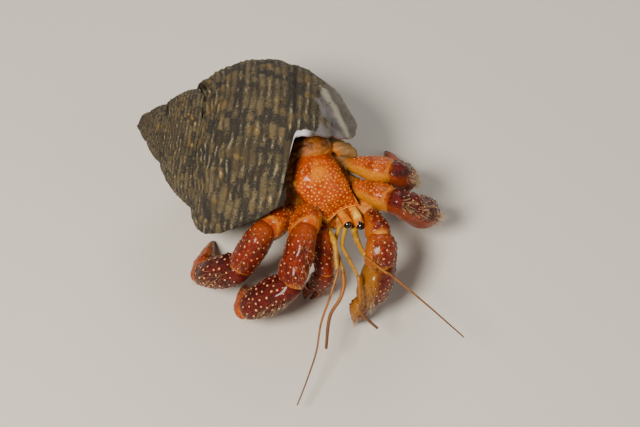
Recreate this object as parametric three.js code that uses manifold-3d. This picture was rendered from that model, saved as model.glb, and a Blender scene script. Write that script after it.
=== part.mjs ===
// Strawberry land hermit crab in a turban shell, as a still, life-size model.
// Millimetres, +Z up. The crab faces -Y and a little towards +X; the tip of its shell points to -X.
// Every limb is a chain of hard segments with a thin gap at each joint, as in the living animal.
import * as THREE from 'three';
import { mergeVertices } from 'three/addons/utils/BufferGeometryUtils.js';
import Module from 'manifold-3d';

const wasm = await Module();
wasm.setup();

// ---------------------------------------------------------------- driving sizes
const GAP = 0.3;                 // between any two pieces that meet
const FLOOR = 0;                 // the level that the shell and the leg tips stand on

// the crab's own directions: it faces 27.8 degrees to the left of -Y, head down by 37 degrees
const HEADING = THREE.MathUtils.degToRad(27.8);
const NOSE_DOWN = THREE.MathUtils.degToRad(37);
const BODY_CENTRE = new THREE.Vector3(1.75, -7.9, 23.5);
const SHIELD_LENGTH = 14.4;
const SHIELD_WIDTH = 9.6;
const TRUNK_WIDTH = 9.8;
const TRUNK_DEPTH = 10;
const HEAD_WIDTH = 7;
const HEAD_DEPTH = 4.4;

// the turban shell: a tube that winds round an axis and grows by a constant factor each turn
const SHELL = {
  apex: new THREE.Vector3(-36.4, 9.3, 18.4),
  axisYaw: THREE.MathUtils.degToRad(-11.9),
  axisDip: THREE.MathUtils.degToRad(10.9),
  growthPerTurn: 1.934,
  turns: 3.4,
  mouthHeight: 31.4,             // along the axis, from the tip to the middle of the mouth
  ringRadius: 8.54,              // from the axis to the middle of the tube, at the mouth
  tubeRadius: 14.1,              // of the tube, at the mouth
  tubeStretch: 1.266,            // along the axis
  mouthTurn: THREE.MathUtils.degToRad(47.7),
  wall: 1.3,
  pillarRadius: 1.2,             // of the solid pillar that the whorls wind round, at the mouth
  pillarReach: 30.8,             // how far the pillar runs along the axis
  tipFrom: 0.3,                  // the rounded first whorl, along the axis
  tipTo: 4,
  tipWidth: 3,
};
const WHORL_CORE = 0.12;         // how close to the axis the whorls come, at the mouth
const HOLLOW_CORE = 0.18;        // and the hollow
const ABDOMEN_CORE = 0.32;       // and the body in it
const MOUTH_TILT = THREE.MathUtils.degToRad(47.8);   // of the mouth's plane towards the base
const MOUTH_LEAN = THREE.MathUtils.degToRad(-12);    // and towards the axis
const MOUTH_RUN = 1.7;           // winding, in radians, past which the mouth's plane has cut all
const HOLLOW_TURN = -2.2;        // where the hollow behind the mouth ends
const ABDOMEN_FROM = -1.7;       // the windings between which the abdomen lies in the hollow
const ABDOMEN_TO = -1.15;
const ABDOMEN_ROOM = 0.5;        // between the abdomen and the shell's inner face
const NOTCH_EDGE = -5.4;         // X of the worn notch over the crab's back
const NOTCH_TOP = new THREE.Vector3(0, -3.4, 30.4);
const NOTCH_FACING = new THREE.Vector3(0, -0.87, -0.5);

// widths and depths of the limb segments
const WALKING_LEG = {
  coxa: [3.8, 3.6],
  merus: [7.4, 5.2],
  carpus: [7, 5.6],
  propodus: [7.4, 6.2],
  dactyl: [4.2, 3.6],
};

// ---------------------------------------------------------------- directions
const forward = new THREE.Vector3(
  Math.cos(NOSE_DOWN) * Math.sin(HEADING),
  -Math.cos(NOSE_DOWN) * Math.cos(HEADING),
  -Math.sin(NOSE_DOWN),
);
const left = new THREE.Vector3(Math.cos(HEADING), Math.sin(HEADING), 0);
const dorsal = forward.clone().cross(left);

// a point of the crab's body, from distances along its own directions
function body(ahead, toLeft, up) {
  return BODY_CENTRE.clone()
    .addScaledVector(forward, ahead)
    .addScaledVector(left, toLeft)
    .addScaledVector(dorsal, up);
}

function point(x, y, z) {
  return new THREE.Vector3(x, y, z);
}

// ---------------------------------------------------------------- solids
function toSolid(geometry) {
  geometry.deleteAttribute('normal');
  geometry.deleteAttribute('uv');
  const merged = mergeVertices(geometry, 1e-4);
  const vertProperties = new Float32Array(merged.attributes.position.array);
  const triVerts = new Uint32Array(merged.index.array);
  const solid = new wasm.Manifold(new wasm.Mesh({ numProp: 3, vertProperties, triVerts }));
  if (solid.volume() > 0) return solid;
  for (let i = 0; i < triVerts.length; i += 3) {
    [triVerts[i], triVerts[i + 1]] = [triVerts[i + 1], triVerts[i]];
  }
  return new wasm.Manifold(new wasm.Mesh({ numProp: 3, vertProperties, triVerts }));
}

function boxSolid(low, high) {
  const size = high.clone().sub(low);
  const centre = low.clone().add(high).multiplyScalar(0.5);
  const geometry = new THREE.BoxGeometry(size.x, size.y, size.z);
  geometry.translate(centre.x, centre.y, centre.z);
  return toSolid(geometry);
}

function largestBody(solid) {
  const bodies = solid.decompose();
  return bodies.reduce((best, one) => (one.volume() > best.volume() ? one : best));
}

// A profile turned on a lathe, then laid along a curve. The profile gives the radius, from 0 to 1,
// at each share of the length. The width lies across `reference`, the depth along it.
function laidAlong(curve, reference, profile, width, depth, { grow = 0, sides = 8 } = {}) {
  const length = curve.getLength();
  const outline = profile.map(([share, radius]) => new THREE.Vector2(radius, share));
  const geometry = new THREE.LatheGeometry(outline, sides);
  const position = geometry.attributes.position;
  for (let i = 0; i < position.count; i += 1) {
    const share = position.getY(i);
    const stretched = share + (grow / length) * (2 * share - 1);
    const inside = THREE.MathUtils.clamp(share, 0, 1);
    const tangent = curve.getTangentAt(inside);
    const across = new THREE.Vector3().crossVectors(tangent, reference).normalize();
    const through = new THREE.Vector3().crossVectors(across, tangent).normalize();
    const vertex = curve.getPointAt(inside)
      .addScaledVector(tangent, (stretched - share) * length)
      .addScaledVector(across, position.getX(i) * (width / 2 + grow))
      .addScaledVector(through, position.getZ(i) * (depth / 2 + grow));
    position.setXYZ(i, vertex.x, vertex.y, vertex.z);
  }
  return toSolid(geometry);
}

// a gently bowed curve between two joints
function bowed(from, to, bow) {
  const middle = from.clone().add(to).multiplyScalar(0.5).add(bow);
  return new THREE.QuadraticBezierCurve3(from, middle, to);
}

const PROFILES = {
  barrel: [[0, 0], [0.01, 0.62], [0.14, 0.86], [0.4, 1], [0.72, 0.98], [0.93, 0.78], [1, 0]],
  thigh: [[0, 0], [0.01, 0.44], [0.25, 0.64], [0.5, 0.84], [0.75, 1], [0.93, 0.9], [0.99, 0.7], [1, 0]],
  club: [[0, 0], [0.01, 0.66], [0.12, 0.9], [0.42, 1], [0.75, 0.86], [0.95, 0.6], [1, 0]],
  claw: [[0, 0], [0.02, 0.7], [0.15, 1], [0.4, 0.84], [0.7, 0.52], [0.96, 0.22], [1, 0]],
  palm: [[0, 0], [0.01, 0.62], [0.18, 0.9], [0.5, 1], [0.85, 0.9], [0.98, 0.66], [1, 0]],
  rod: [[0, 0], [0.02, 0.85], [0.3, 1], [0.7, 0.95], [0.98, 0.8], [1, 0]],
  bead: [[0, 0], [0.07, 0.52], [0.25, 0.87], [0.5, 1], [0.75, 0.87], [0.93, 0.52], [1, 0]],
  shield: [
    [0, 0], [0.015, 0.72], [0.2, 0.88], [0.45, 1], [0.72, 0.9], [0.9, 0.86], [0.98, 0.84], [1, 0],
  ],
  trunk: [[0, 0], [0.03, 0.72], [0.2, 0.92], [0.5, 1], [0.8, 0.93], [0.96, 0.66], [1, 0]],
};

function whipProfile(steps, tipShare) {
  const profile = [[0, 0]];
  for (let i = 0; i <= steps; i += 1) {
    const share = THREE.MathUtils.lerp(0.004, 0.996, i / steps);
    profile.push([share, THREE.MathUtils.lerp(1, tipShare, share)]);
  }
  profile.push([1, 0]);
  return profile;
}

// ---------------------------------------------------------------- the model's list of pieces
const FINISHES = {
  shell: { color: 0x6b6048, roughness: 0.75 },
  redPlate: { color: 0x8f1f0c, roughness: 0.4 },
  orangePlate: { color: 0xc8560f, roughness: 0.4 },
  joint: { color: 0xd8a24a, roughness: 0.6 },
  feeler: { color: 0xb98a3a, roughness: 0.5 },
  cornea: { color: 0x050507, roughness: 0.1 },
  soft: { color: 0xc98a52, roughness: 0.6 },
};
const pieces = [];
const floorCut = boxSolid(point(-90, -90, -20), point(90, 90, FLOOR));

// Adds a piece. `make(grow)` builds it; whatever was added before is kept clear of by GAP.
function add(name, finish, make) {
  let solid = make(0).subtract(floorCut);
  for (const earlier of pieces) solid = solid.subtract(earlier.clearance);
  pieces.push({ name, finish, solid: largestBody(solid), clearance: make(GAP) });
}

// ---------------------------------------------------------------- the shell
const shellAxis = new THREE.Vector3(
  Math.cos(SHELL.axisYaw) * Math.cos(SHELL.axisDip),
  Math.sin(SHELL.axisYaw) * Math.cos(SHELL.axisDip),
  -Math.sin(SHELL.axisDip),
);
const shellTop = point(0, 0, 1).addScaledVector(shellAxis, -shellAxis.z).normalize();
const shellFront = shellAxis.clone().cross(shellTop);

// a point of the wound tube: `turn` in radians along the winding, `around` in radians round the tube
function shellPoint(turn, around, offset, core) {
  const growth = SHELL.growthPerTurn ** (turn / (2 * Math.PI));
  const radius = SHELL.tubeRadius * growth + offset;
  const outward = SHELL.ringRadius * growth + radius * Math.cos(around);
  const along = SHELL.mouthHeight * growth + radius * SHELL.tubeStretch * Math.sin(around);
  const angle = SHELL.mouthTurn + turn;
  const direction = shellTop.clone().multiplyScalar(Math.cos(angle))
    .addScaledVector(shellFront, Math.sin(angle));
  return SHELL.apex.clone()
    .addScaledVector(shellAxis, along)
    .addScaledVector(direction, Math.max(outward, core * growth));
}

const CAP_SHARE = 0.6;           // the middle of a tube's end cap lies this far towards the axis

function tubeSolid(start, end, offset, core, sides = 17, stepAngle = 0.44) {
  const steps = Math.max(2, Math.round((end - start) / stepAngle));
  const geometry = new THREE.CylinderGeometry(1, 1, 1, sides, steps);
  const position = geometry.attributes.position;
  for (let i = 0; i < position.count; i += 1) {
    const turn = THREE.MathUtils.lerp(start, end, position.getY(i) + 0.5);
    const x = position.getX(i);
    const z = position.getZ(i);
    const onAxis = Math.hypot(x, z) < 1e-6;
    const growth = SHELL.growthPerTurn ** (turn / (2 * Math.PI));
    const capOffset = -CAP_SHARE * SHELL.tubeRadius * growth;
    const vertex = shellPoint(turn, Math.atan2(z, x), onAxis ? capOffset : offset, core);
    position.setXYZ(i, vertex.x, vertex.y, vertex.z);
  }
  return toSolid(geometry);
}

// the pillar that the whorls wind round
function pillarSolid(grow) {
  const tipShare = 0.06;
  const reach = SHELL.pillarReach;
  const radius = SHELL.pillarRadius + grow;
  const geometry = new THREE.CylinderGeometry(radius, radius * tipShare, reach * (1 - tipShare), 10, 1);
  geometry.translate(0, reach * (1 + tipShare) / 2, 0);
  const turnToAxis = new THREE.Quaternion().setFromUnitVectors(point(0, 1, 0), shellAxis);
  geometry.applyQuaternion(turnToAxis);
  geometry.translate(SHELL.apex.x, SHELL.apex.y, SHELL.apex.z);
  return toSolid(geometry);
}

// everything on the far side of a plane
function beyond(onPlane, facing) {
  const size = 90;
  const geometry = new THREE.BoxGeometry(size, size, size);
  geometry.translate(0, 0, size / 2);
  const turnToFacing = new THREE.Quaternion().setFromUnitVectors(point(0, 0, 1), facing);
  geometry.applyQuaternion(turnToFacing);
  geometry.translate(onPlane.x, onPlane.y, onPlane.z);
  return toSolid(geometry);
}

const mouthRadial = shellTop.clone().multiplyScalar(Math.cos(SHELL.mouthTurn))
  .addScaledVector(shellFront, Math.sin(SHELL.mouthTurn));
const mouthTangent = shellTop.clone().multiplyScalar(-Math.sin(SHELL.mouthTurn))
  .addScaledVector(shellFront, Math.cos(SHELL.mouthTurn));
const mouthCentre = SHELL.apex.clone()
  .addScaledVector(shellAxis, SHELL.mouthHeight)
  .addScaledVector(mouthRadial, SHELL.ringRadius);
const mouthFacing = new THREE.Vector3()
  .addScaledVector(mouthTangent, Math.cos(MOUTH_TILT) * Math.cos(MOUTH_LEAN))
  .addScaledVector(shellAxis, Math.sin(MOUTH_TILT))
  .addScaledVector(mouthRadial, Math.cos(MOUTH_TILT) * Math.sin(MOUTH_LEAN));

// the rounded first whorl
function shellTipSolid(grow) {
  const along = (distance) => SHELL.apex.clone().addScaledVector(shellAxis, distance);
  const line = new THREE.LineCurve3(along(SHELL.tipFrom), along(SHELL.tipTo));
  return laidAlong(line, shellTop, PROFILES.bead, SHELL.tipWidth, SHELL.tipWidth, { grow });
}

function shellSolid(grow) {
  const halfTurn = Math.PI;
  const overlap = 0.05;
  const fineFrom = -2.5 * halfTurn;
  let early = pillarSolid(grow).add(shellTipSolid(grow));
  let start = -SHELL.turns * 2 * Math.PI;
  while (start < HOLLOW_TURN - 1e-6) {
    const end = Math.min(start + halfTurn, HOLLOW_TURN);
    early = early.add(tubeSolid(start, end + overlap, grow, WHORL_CORE, end < fineFrom ? 12 : 17));
    start = end;
  }
  const tube = tubeSolid(HOLLOW_TURN, MOUTH_RUN, grow, WHORL_CORE);
  const hollow = tubeSolid(HOLLOW_TURN + 0.15, MOUTH_RUN + 0.3, -SHELL.wall - grow, HOLLOW_CORE);
  const notch = boxSolid(point(NOTCH_EDGE + grow, -60, -60), point(60, 60, 60))
    .intersect(beyond(NOTCH_TOP.clone().addScaledVector(NOTCH_FACING, grow), NOTCH_FACING));
  const mouth = tube.subtract(hollow).subtract(notch)
    .subtract(beyond(mouthCentre.clone().addScaledVector(mouthFacing, grow), mouthFacing));
  return early.add(mouth);
}

add('shell', 'shell', shellSolid);

// ---------------------------------------------------------------- eyes, head and trunk
const SIDES = [['right', -1], ['left', 1]];
const EYES = {
  right: { root: body(6.9, 0.1, -3.2), end: body(9.5, -0.2, -0.2) },
  left: { root: body(7.2, 2.4, -3.1), end: body(10.6, 1.8, 0.7) },
};
const CORNEA_LENGTH = 2.4;
const CORNEA_WIDTH = 2;
const STALK_WIDTH = 2.1;
const STALK_DEPTH = 1.9;

for (const [side] of SIDES) {
  const { root, end } = EYES[side];
  const gaze = end.clone().sub(root).normalize();
  const back = end.clone().addScaledVector(gaze, -CORNEA_LENGTH / 2);
  const front = end.clone().addScaledVector(gaze, CORNEA_LENGTH / 2);
  add(`cornea_${side}`, 'cornea', (grow) => laidAlong(
    bowed(back, front, point(0, 0, 0)), dorsal, PROFILES.bead, CORNEA_WIDTH, CORNEA_WIDTH,
    { grow, sides: 10 },
  ));
  add(`eyestalk_${side}`, 'orangePlate', (grow) => laidAlong(
    bowed(root, end, point(0, 0, 0.2)), dorsal, PROFILES.rod, STALK_WIDTH, STALK_DEPTH, { grow },
  ));
}

const SHIELD_MIDDLE = 1.7;       // ahead of the body's centre
const BROW_RADIUS = 3.9;         // of the hollow in the front edge, between the two corner lobes
const BROW_AHEAD = 11.1;         // its middle, ahead of the body's centre
const BROW_LEFT = 1.3;
const shieldRear = body(SHIELD_MIDDLE - SHIELD_LENGTH / 2, -1.5, -2.2);
const shieldFront = body(SHIELD_MIDDLE + SHIELD_LENGTH / 2, 1.3, -3.2);
const shieldBow = dorsal.clone().multiplyScalar(1.3).addScaledVector(left, -0.9);

// keeps what lies above a level of the crab's body, measured along its dorsal direction
function aboveLevel(solid, level) {
  const geometry = new THREE.BoxGeometry(60, 60, 40);
  geometry.applyMatrix4(new THREE.Matrix4().makeBasis(left, forward.clone().negate(), dorsal));
  const centre = body(0, 0, level - 20);
  geometry.translate(centre.x, centre.y, centre.z);
  return solid.subtract(toSolid(geometry));
}

// the upright round post that the hollow of the front edge is cut with
function browPost(grow) {
  const geometry = new THREE.CylinderGeometry(BROW_RADIUS - grow, BROW_RADIUS - grow, 20, 16);
  geometry.applyMatrix4(new THREE.Matrix4().makeBasis(left, dorsal, forward));
  const centre = body(BROW_AHEAD, BROW_LEFT, 0);
  geometry.translate(centre.x, centre.y, centre.z);
  return toSolid(geometry);
}

add('shield', 'orangePlate', (grow) => aboveLevel(laidAlong(
  bowed(shieldRear, shieldFront, shieldBow), dorsal, PROFILES.shield, SHIELD_WIDTH, 5.4,
  { grow, sides: 16 },
), -2.9 - grow).subtract(browPost(grow)));

// the trunk, with the head that carries the eyes and feelers in front of it
add('thorax', 'soft', (grow) => laidAlong(
  bowed(body(-5.6, -1.3, -5.4), body(6.6, 0, -5.2), left.clone().multiplyScalar(-0.8)), dorsal,
  PROFILES.trunk, TRUNK_WIDTH, TRUNK_DEPTH, { grow },
).add(laidAlong(
  bowed(body(5.4, 0.8, -4.8), body(10.1, 1.2, -4.6), point(0, 0, 0)), dorsal,
  PROFILES.trunk, HEAD_WIDTH, HEAD_DEPTH, { grow },
)));

// the soft hind part of the carapace, which runs back under the shell's lip
add('hind_carapace', 'soft', (grow) => laidAlong(
  new THREE.CatmullRomCurve3([body(-4.2, -1.1, -4.6), body(-7.8, -0.4, -4.8), point(-4.2, 3.6, 22.6)]),
  dorsal, PROFILES.barrel, 8, 8.4, { grow },
));

// the coiled soft abdomen, which fills the hollow behind the mouth
add('abdomen', 'soft', (grow) => tubeSolid(
  ABDOMEN_FROM, ABDOMEN_TO, -SHELL.wall - ABDOMEN_ROOM + grow, ABDOMEN_CORE, 12, 0.45,
));

// ---------------------------------------------------------------- mouth and feelers
for (const [side, sign] of SIDES) {
  add(`maxilliped_${side}`, 'orangePlate', (grow) => laidAlong(
    new THREE.CatmullRomCurve3([
      body(6.9, sign * 1.5, -6.2), body(9.2, sign * 1.7, -8.2), body(8.6, sign * 1.1, -11.4),
    ]),
    left, PROFILES.barrel, 2.2, 1.9, { grow },
  ));
}

const FEELERS = {
  antenna_right: {
    base: [body(7.8, -2, -4), point(1.2, -13.8, 15.5), point(2, -16, 16), point(2.8, -18.4, 16),
      point(3.2, -22.8, 14.2)],
    whip: [point(3.2, -23.4, 13.9), point(2, -26.9, 12), point(0.2, -31.8, 10), point(-0.7, -36.8, 8),
      point(-2.4, -41.6, 6), point(-4.2, -45.9, 4)],
    baseWidth: 1.2, whipWidth: 0.7, tipShare: 0.72,
  },
  antenna_left: {
    base: [body(9.5, 2.3, -3.4), point(6.5, -15, 15.6), point(7.1, -18.5, 16.8),
      point(8.3, -22.5, 18.5)],
    whip: [point(8.6, -23.1, 18.6), point(11.9, -26.7, 19.5), point(13.1, -27.2, 19),
      point(19.2, -31.2, 16), point(26.5, -36.2, 12)],
    baseWidth: 1.2, whipWidth: 0.7, tipShare: 0.72,
  },
  antennule_right: {
    base: [body(9.6, -0.5, -3.8), point(2.8, -16.8, 14.2), point(3.5, -19.6, 13.8),
      point(4.3, -22.9, 14.3)],
    whip: [point(4.3, -23.5, 14.1), point(4.4, -25.6, 13.3), point(3.7, -27.9, 12.2),
      point(1.8, -31, 10.8), point(1.1, -36.8, 8.8)],
    baseWidth: 0.8, whipWidth: 0.9, tipShare: 0.75,
  },
  antennule_left: {
    base: [body(9.8, 0.8, -3.8), point(4.2, -17.1, 14.4), point(5.1, -20.3, 15.1), point(7, -26, 17)],
    whip: [point(7.1, -26.6, 16.9), point(7.4, -28.5, 14.5), point(7.6, -30.3, 11.5),
      point(9.1, -31.3, 10), point(10.8, -32.4, 9)],
    baseWidth: 0.8, whipWidth: 0.8, tipShare: 0.75,
  },
};

for (const [name, { base, whip, baseWidth, whipWidth, tipShare }] of Object.entries(FEELERS)) {
  add(`${name}_base`, 'feeler', (grow) => laidAlong(
    new THREE.CatmullRomCurve3(base), left, PROFILES.rod, baseWidth, baseWidth, { grow, sides: 6 },
  ));
  add(`${name}_whip`, 'feeler', (grow) => laidAlong(
    new THREE.CatmullRomCurve3(whip), left, whipProfile(6, tipShare), whipWidth, whipWidth,
    { grow, sides: 6 },
  ));
}

// ---------------------------------------------------------------- walking legs
// joints from the body outwards: root, start of the merus, knee, wrist, ankle, tip
const LEGS = {
  leg2_right: [body(1, -3.4, -7.6), point(-2.7, -9, 16), point(-2.8, -18.5, 20.5),
    point(-5.6, -26.2, 14), point(-14.2, -27.4, 7.4), point(-14.6, -17.2, 0)],
  leg3_right: [body(-2.5, -3.4, -7.6), point(-5, -9.6, 14.6), point(-10.4, -17.6, 19.5),
    point(-15, -22, 13.4), point(-22.8, -19.2, 7), point(-21.2, -6.8, 0)],
  leg2_left: [body(1, 3.4, -7.6), point(6.1, -5.5, 17), point(14, -11.1, 20),
    point(18.8, -9.9, 15), point(20.3, -4.8, 7), point(21.3, 3.8, 0)],
  leg3_left: [body(-2.5, 3.4, -7.6), point(5.2, -1.5, 19), point(14.2, -5, 20.5),
    point(15.1, -0.7, 13), point(15.9, 5, 5.5), point(13.5, 15.4, 0)],
};
const SEGMENTS = [['coxa', 'rod'], ['merus', 'thigh'], ['carpus', 'barrel'], ['propodus', 'club'],
  ['dactyl', 'claw']];
const SEGMENT_FINISH = {
  coxa: 'joint', merus: 'orangePlate', carpus: 'redPlate', propodus: 'redPlate', dactyl: 'orangePlate',
};
const DACTYL_BOW = 1.6;
const TIP_SINK = 0.35;           // the tip is ground off flat at the floor by this much

// the direction in which a segment is flat: square to the plane that the leg bends in
function bendNormal(joints) {
  const upper = joints[2].clone().sub(joints[1]);
  const lower = joints[4].clone().sub(joints[2]);
  return new THREE.Vector3().crossVectors(upper, lower).normalize();
}

for (const [leg, joints] of Object.entries(LEGS)) {
  const flat = bendNormal(joints);
  SEGMENTS.forEach(([segment, profile], i) => {
    const from = joints[i].clone();
    const to = joints[i + 1].clone();
    const [width, depth] = WALKING_LEG[segment];
    const bow = point(0, 0, 0);
    if (segment === 'dactyl') {
      to.z -= TIP_SINK;
      bow.z = DACTYL_BOW;
    }
    add(`${leg}_${segment}`, SEGMENT_FINISH[segment], (grow) => laidAlong(
      bowed(from, to, bow), flat, PROFILES[profile], width, depth,
      { grow, sides: segment === 'coxa' ? 6 : 8 },
    ));
  });
}

// ---------------------------------------------------------------- claws
// each hand carries a fixed finger, and a free finger lies beside that one, on the inner side
const CLAWS = {
  right: {
    joints: [body(4.2, -3.2, -8), point(-0.4, -11.6, 14.6), point(0.6, -16.6, 16),
      point(0.9, -21.4, 10.3), point(-0.7, -21, 5.6), point(-2.4, -20.2, 0)],
    coxa: [3, 3], merus: [3.4, 3.2], carpus: [3.8, 3.5], palm: [4.2, 3.5], finger: [2.1, 1.9],
    flat: point(0.3, 0.9, 0.2), inward: point(1.1, -0.3, 0.3),
  },
  left: {
    joints: [body(4.2, 3.4, -8), point(9.4, -10.8, 15.6), point(11.2, -18.6, 18.6),
      point(11.3, -22.8, 15.2), point(9.4, -24, 7), point(7.6, -24.2, 0)],
    coxa: [3.8, 3.8], merus: [5, 4.6], carpus: [6.8, 6], palm: [9.4, 6.4], finger: [4.5, 3.6],
    flat: point(0.75, -0.2, 0.1), inward: point(-1.5, -1.9, 0.2),
  },
};
const FINGER_BOW = 0.7;
const FREE_FINGER_ROOT = 1;      // shares of the `inward` step at which the fingers begin
const FIXED_FINGER_ROOT = -0.75;
const FINGER_TIP_SHARE = 0.42;   // and end, to either side of the tip
const FINGER_OVERLAP = 0.12;     // the fingers begin this share of the palm behind the knuckle
const FIXED_FINGER_SCALE = 1.1;

for (const [side, claw] of Object.entries(CLAWS)) {
  const [root, shoulder, elbow, wrist, knuckle, tip] = claw.joints;
  const flat = claw.flat.normalize();
  const part = (from, to, profile, [width, depth], bow, grow) => laidAlong(
    bowed(from, to, bow), flat, PROFILES[profile], width, depth, { grow },
  );
  const straight = point(0, 0, 0);
  const tipDown = tip.clone().setZ(tip.z - TIP_SINK);
  add(`claw_${side}_coxa`, 'joint', (grow) => part(
    root, shoulder, 'rod', claw.coxa, straight, grow,
  ));
  add(`claw_${side}_merus`, 'redPlate', (grow) => part(
    shoulder, elbow, 'barrel', claw.merus, straight, grow,
  ));
  add(`claw_${side}_carpus`, 'redPlate', (grow) => part(
    elbow, wrist, 'barrel', claw.carpus, straight, grow,
  ));
  const fingerRoot = (share) => knuckle.clone().addScaledVector(claw.inward, share)
    .add(wrist.clone().sub(knuckle).multiplyScalar(FINGER_OVERLAP));
  add(`claw_${side}_finger`, 'redPlate', (grow) => part(
    fingerRoot(FREE_FINGER_ROOT), tipDown.clone().addScaledVector(claw.inward, FINGER_TIP_SHARE),
    'claw', claw.finger, claw.inward.clone().multiplyScalar(FINGER_BOW), grow,
  ));
  add(`claw_${side}_palm`, 'redPlate', (grow) => part(
    wrist, knuckle, 'palm', claw.palm, straight, grow,
  ).add(part(
    fingerRoot(FIXED_FINGER_ROOT), tipDown.clone().addScaledVector(claw.inward, -FINGER_TIP_SHARE),
    'claw', claw.finger.map((size) => size * FIXED_FINGER_SCALE),
    claw.inward.clone().multiplyScalar(-FINGER_BOW), grow,
  )));
}

// ---------------------------------------------------------------- the small fourth legs
add('leg4_left', 'soft', (grow) => laidAlong(
  bowed(body(-4.8, 3.6, -4.4), point(6.9, -1.8, 22.6), point(0.4, 0.3, 0.5)), dorsal,
  PROFILES.barrel, 3.2, 3, { grow },
));
add('leg4_right', 'soft', (grow) => laidAlong(
  bowed(body(-4.6, -4, -4.8), point(-7.6, -1.6, 20.5), point(-0.4, 0.3, 0.5)), dorsal,
  PROFILES.barrel, 3, 2.8, { grow },
));

// ---------------------------------------------------------------- the scene
function toMesh({ name, finish, solid }) {
  const { vertProperties, triVerts } = solid.getMesh();
  const geometry = new THREE.BufferGeometry();
  geometry.setAttribute('position', new THREE.BufferAttribute(new Float32Array(vertProperties), 3));
  geometry.setIndex(new THREE.BufferAttribute(new Uint32Array(triVerts), 1));
  geometry.computeVertexNormals();
  const material = new THREE.MeshStandardMaterial({
    metalness: 0, flatShading: true, ...FINISHES[finish],
  });
  const mesh = new THREE.Mesh(geometry, material);
  mesh.name = name;
  return mesh;
}

// the origin is on the floor, under the middle of the whole animal
const crab = new THREE.Group();
for (const piece of pieces) crab.add(toMesh(piece));
const bounds = new THREE.Box3().setFromObject(crab);
crab.position.set(-(bounds.min.x + bounds.max.x) / 2, -(bounds.min.y + bounds.max.y) / 2, -bounds.min.z);
crab.updateMatrixWorld(true);

export default crab;
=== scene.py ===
# %% [markdown]
# # A strawberry land hermit crab in a turban shell
#
# The animal is built as a museum model maker would build it: the shell is grown as one wound tube,
# the hard plates of the limbs are shaped one by one and beaded with their pearly granules, and one
# soft skin runs under all of them. Lengths are in millimetres while modelling and are turned into
# metres when a piece is handed over.

import math
import random

import bmesh
import bpy
import numpy as np
from mathutils import Matrix, Vector, noise


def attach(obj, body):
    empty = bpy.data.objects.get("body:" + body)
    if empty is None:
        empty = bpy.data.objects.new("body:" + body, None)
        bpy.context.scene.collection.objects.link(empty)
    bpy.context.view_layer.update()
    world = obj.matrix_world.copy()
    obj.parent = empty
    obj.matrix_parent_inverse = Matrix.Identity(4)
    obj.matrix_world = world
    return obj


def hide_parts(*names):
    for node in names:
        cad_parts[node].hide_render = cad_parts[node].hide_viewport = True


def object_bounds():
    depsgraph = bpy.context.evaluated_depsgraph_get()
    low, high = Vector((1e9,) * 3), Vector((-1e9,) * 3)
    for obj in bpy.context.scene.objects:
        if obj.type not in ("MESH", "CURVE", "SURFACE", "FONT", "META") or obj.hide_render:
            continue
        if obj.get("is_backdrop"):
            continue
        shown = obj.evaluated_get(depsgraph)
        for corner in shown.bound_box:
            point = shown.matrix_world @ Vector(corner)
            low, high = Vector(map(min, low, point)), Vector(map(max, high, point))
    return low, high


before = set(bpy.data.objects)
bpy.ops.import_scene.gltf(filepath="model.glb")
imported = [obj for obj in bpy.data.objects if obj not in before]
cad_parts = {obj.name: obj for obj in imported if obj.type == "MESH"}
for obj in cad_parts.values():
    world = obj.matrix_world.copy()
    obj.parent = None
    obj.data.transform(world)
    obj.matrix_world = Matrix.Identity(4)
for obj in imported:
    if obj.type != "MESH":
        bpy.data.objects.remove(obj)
cad_low, cad_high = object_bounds()
MM = 0.001
SHIFT = Vector((4.763, 12.004, 0))  # from the crab's own origin to the frame's, in millimetres
rng = random.Random(7)
print("frame of", len(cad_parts), "nodes, from", cad_low, "to", cad_high)


# %% [markdown]
# A finished piece leaves the workshop here: it is scaled to metres, set in the frame and given its
# material, and the solids it stands for are hidden.


# %% Handing over a piece
def shift_to_frame(bm):
    bmesh.ops.translate(bm, vec=SHIFT, verts=bm.verts)
    bmesh.ops.scale(bm, vec=(MM, MM, MM), verts=bm.verts)


def hand_over(name, bm, material, slot, nodes=()):
    for vert in bm.verts:
        vert.co.z = max(vert.co.z, 0.0)  # whatever would reach under the floor is ground flat
    shift_to_frame(bm)
    bmesh.ops.recalc_face_normals(bm, faces=bm.faces)
    mesh = bpy.data.meshes.new(name)
    bm.to_mesh(mesh)
    bm.free()
    mesh.shade_smooth()
    mesh.materials.append(material)
    obj = bpy.data.objects.new(name, mesh)
    bpy.context.collection.objects.link(obj)
    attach(obj, "root")
    if nodes:
        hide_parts(*nodes)
    mesh.calc_loop_triangles()
    print(name, "has", len(mesh.loop_triangles), "triangles")
    return obj


# %% [markdown]
# Materials are written as arithmetic on the outputs of texture nodes. `Sock` wraps one socket and
# adds a Math node for each operator, so a mask reads like a formula.


# %% Shader arithmetic
class Sock:
    def __init__(self, shader, socket):
        self.shader = shader
        self.socket = socket

    def _math(self, operation, *operands, clamp=False):
        settings = {"operation": operation, "use_clamp": clamp}
        return self.shader.node("ShaderNodeMath", settings, dict(enumerate(operands)))

    def __add__(self, other):
        return self._math("ADD", self, other)

    def __radd__(self, other):
        return self._math("ADD", other, self)

    def __sub__(self, other):
        return self._math("SUBTRACT", self, other)

    def __rsub__(self, other):
        return self._math("SUBTRACT", other, self)

    def __mul__(self, other):
        return self._math("MULTIPLY", self, other)

    def __rmul__(self, other):
        return self._math("MULTIPLY", other, self)

    def __truediv__(self, other):
        return self._math("DIVIDE", self, other)

    def clamped(self):
        return self._math("ADD", self, 0.0, clamp=True)

    def sine(self):
        return self._math("SINE", self)

    def whole(self):
        return self._math("FLOOR", self)

    def size(self):
        return self._math("ABSOLUTE", self)


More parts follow.
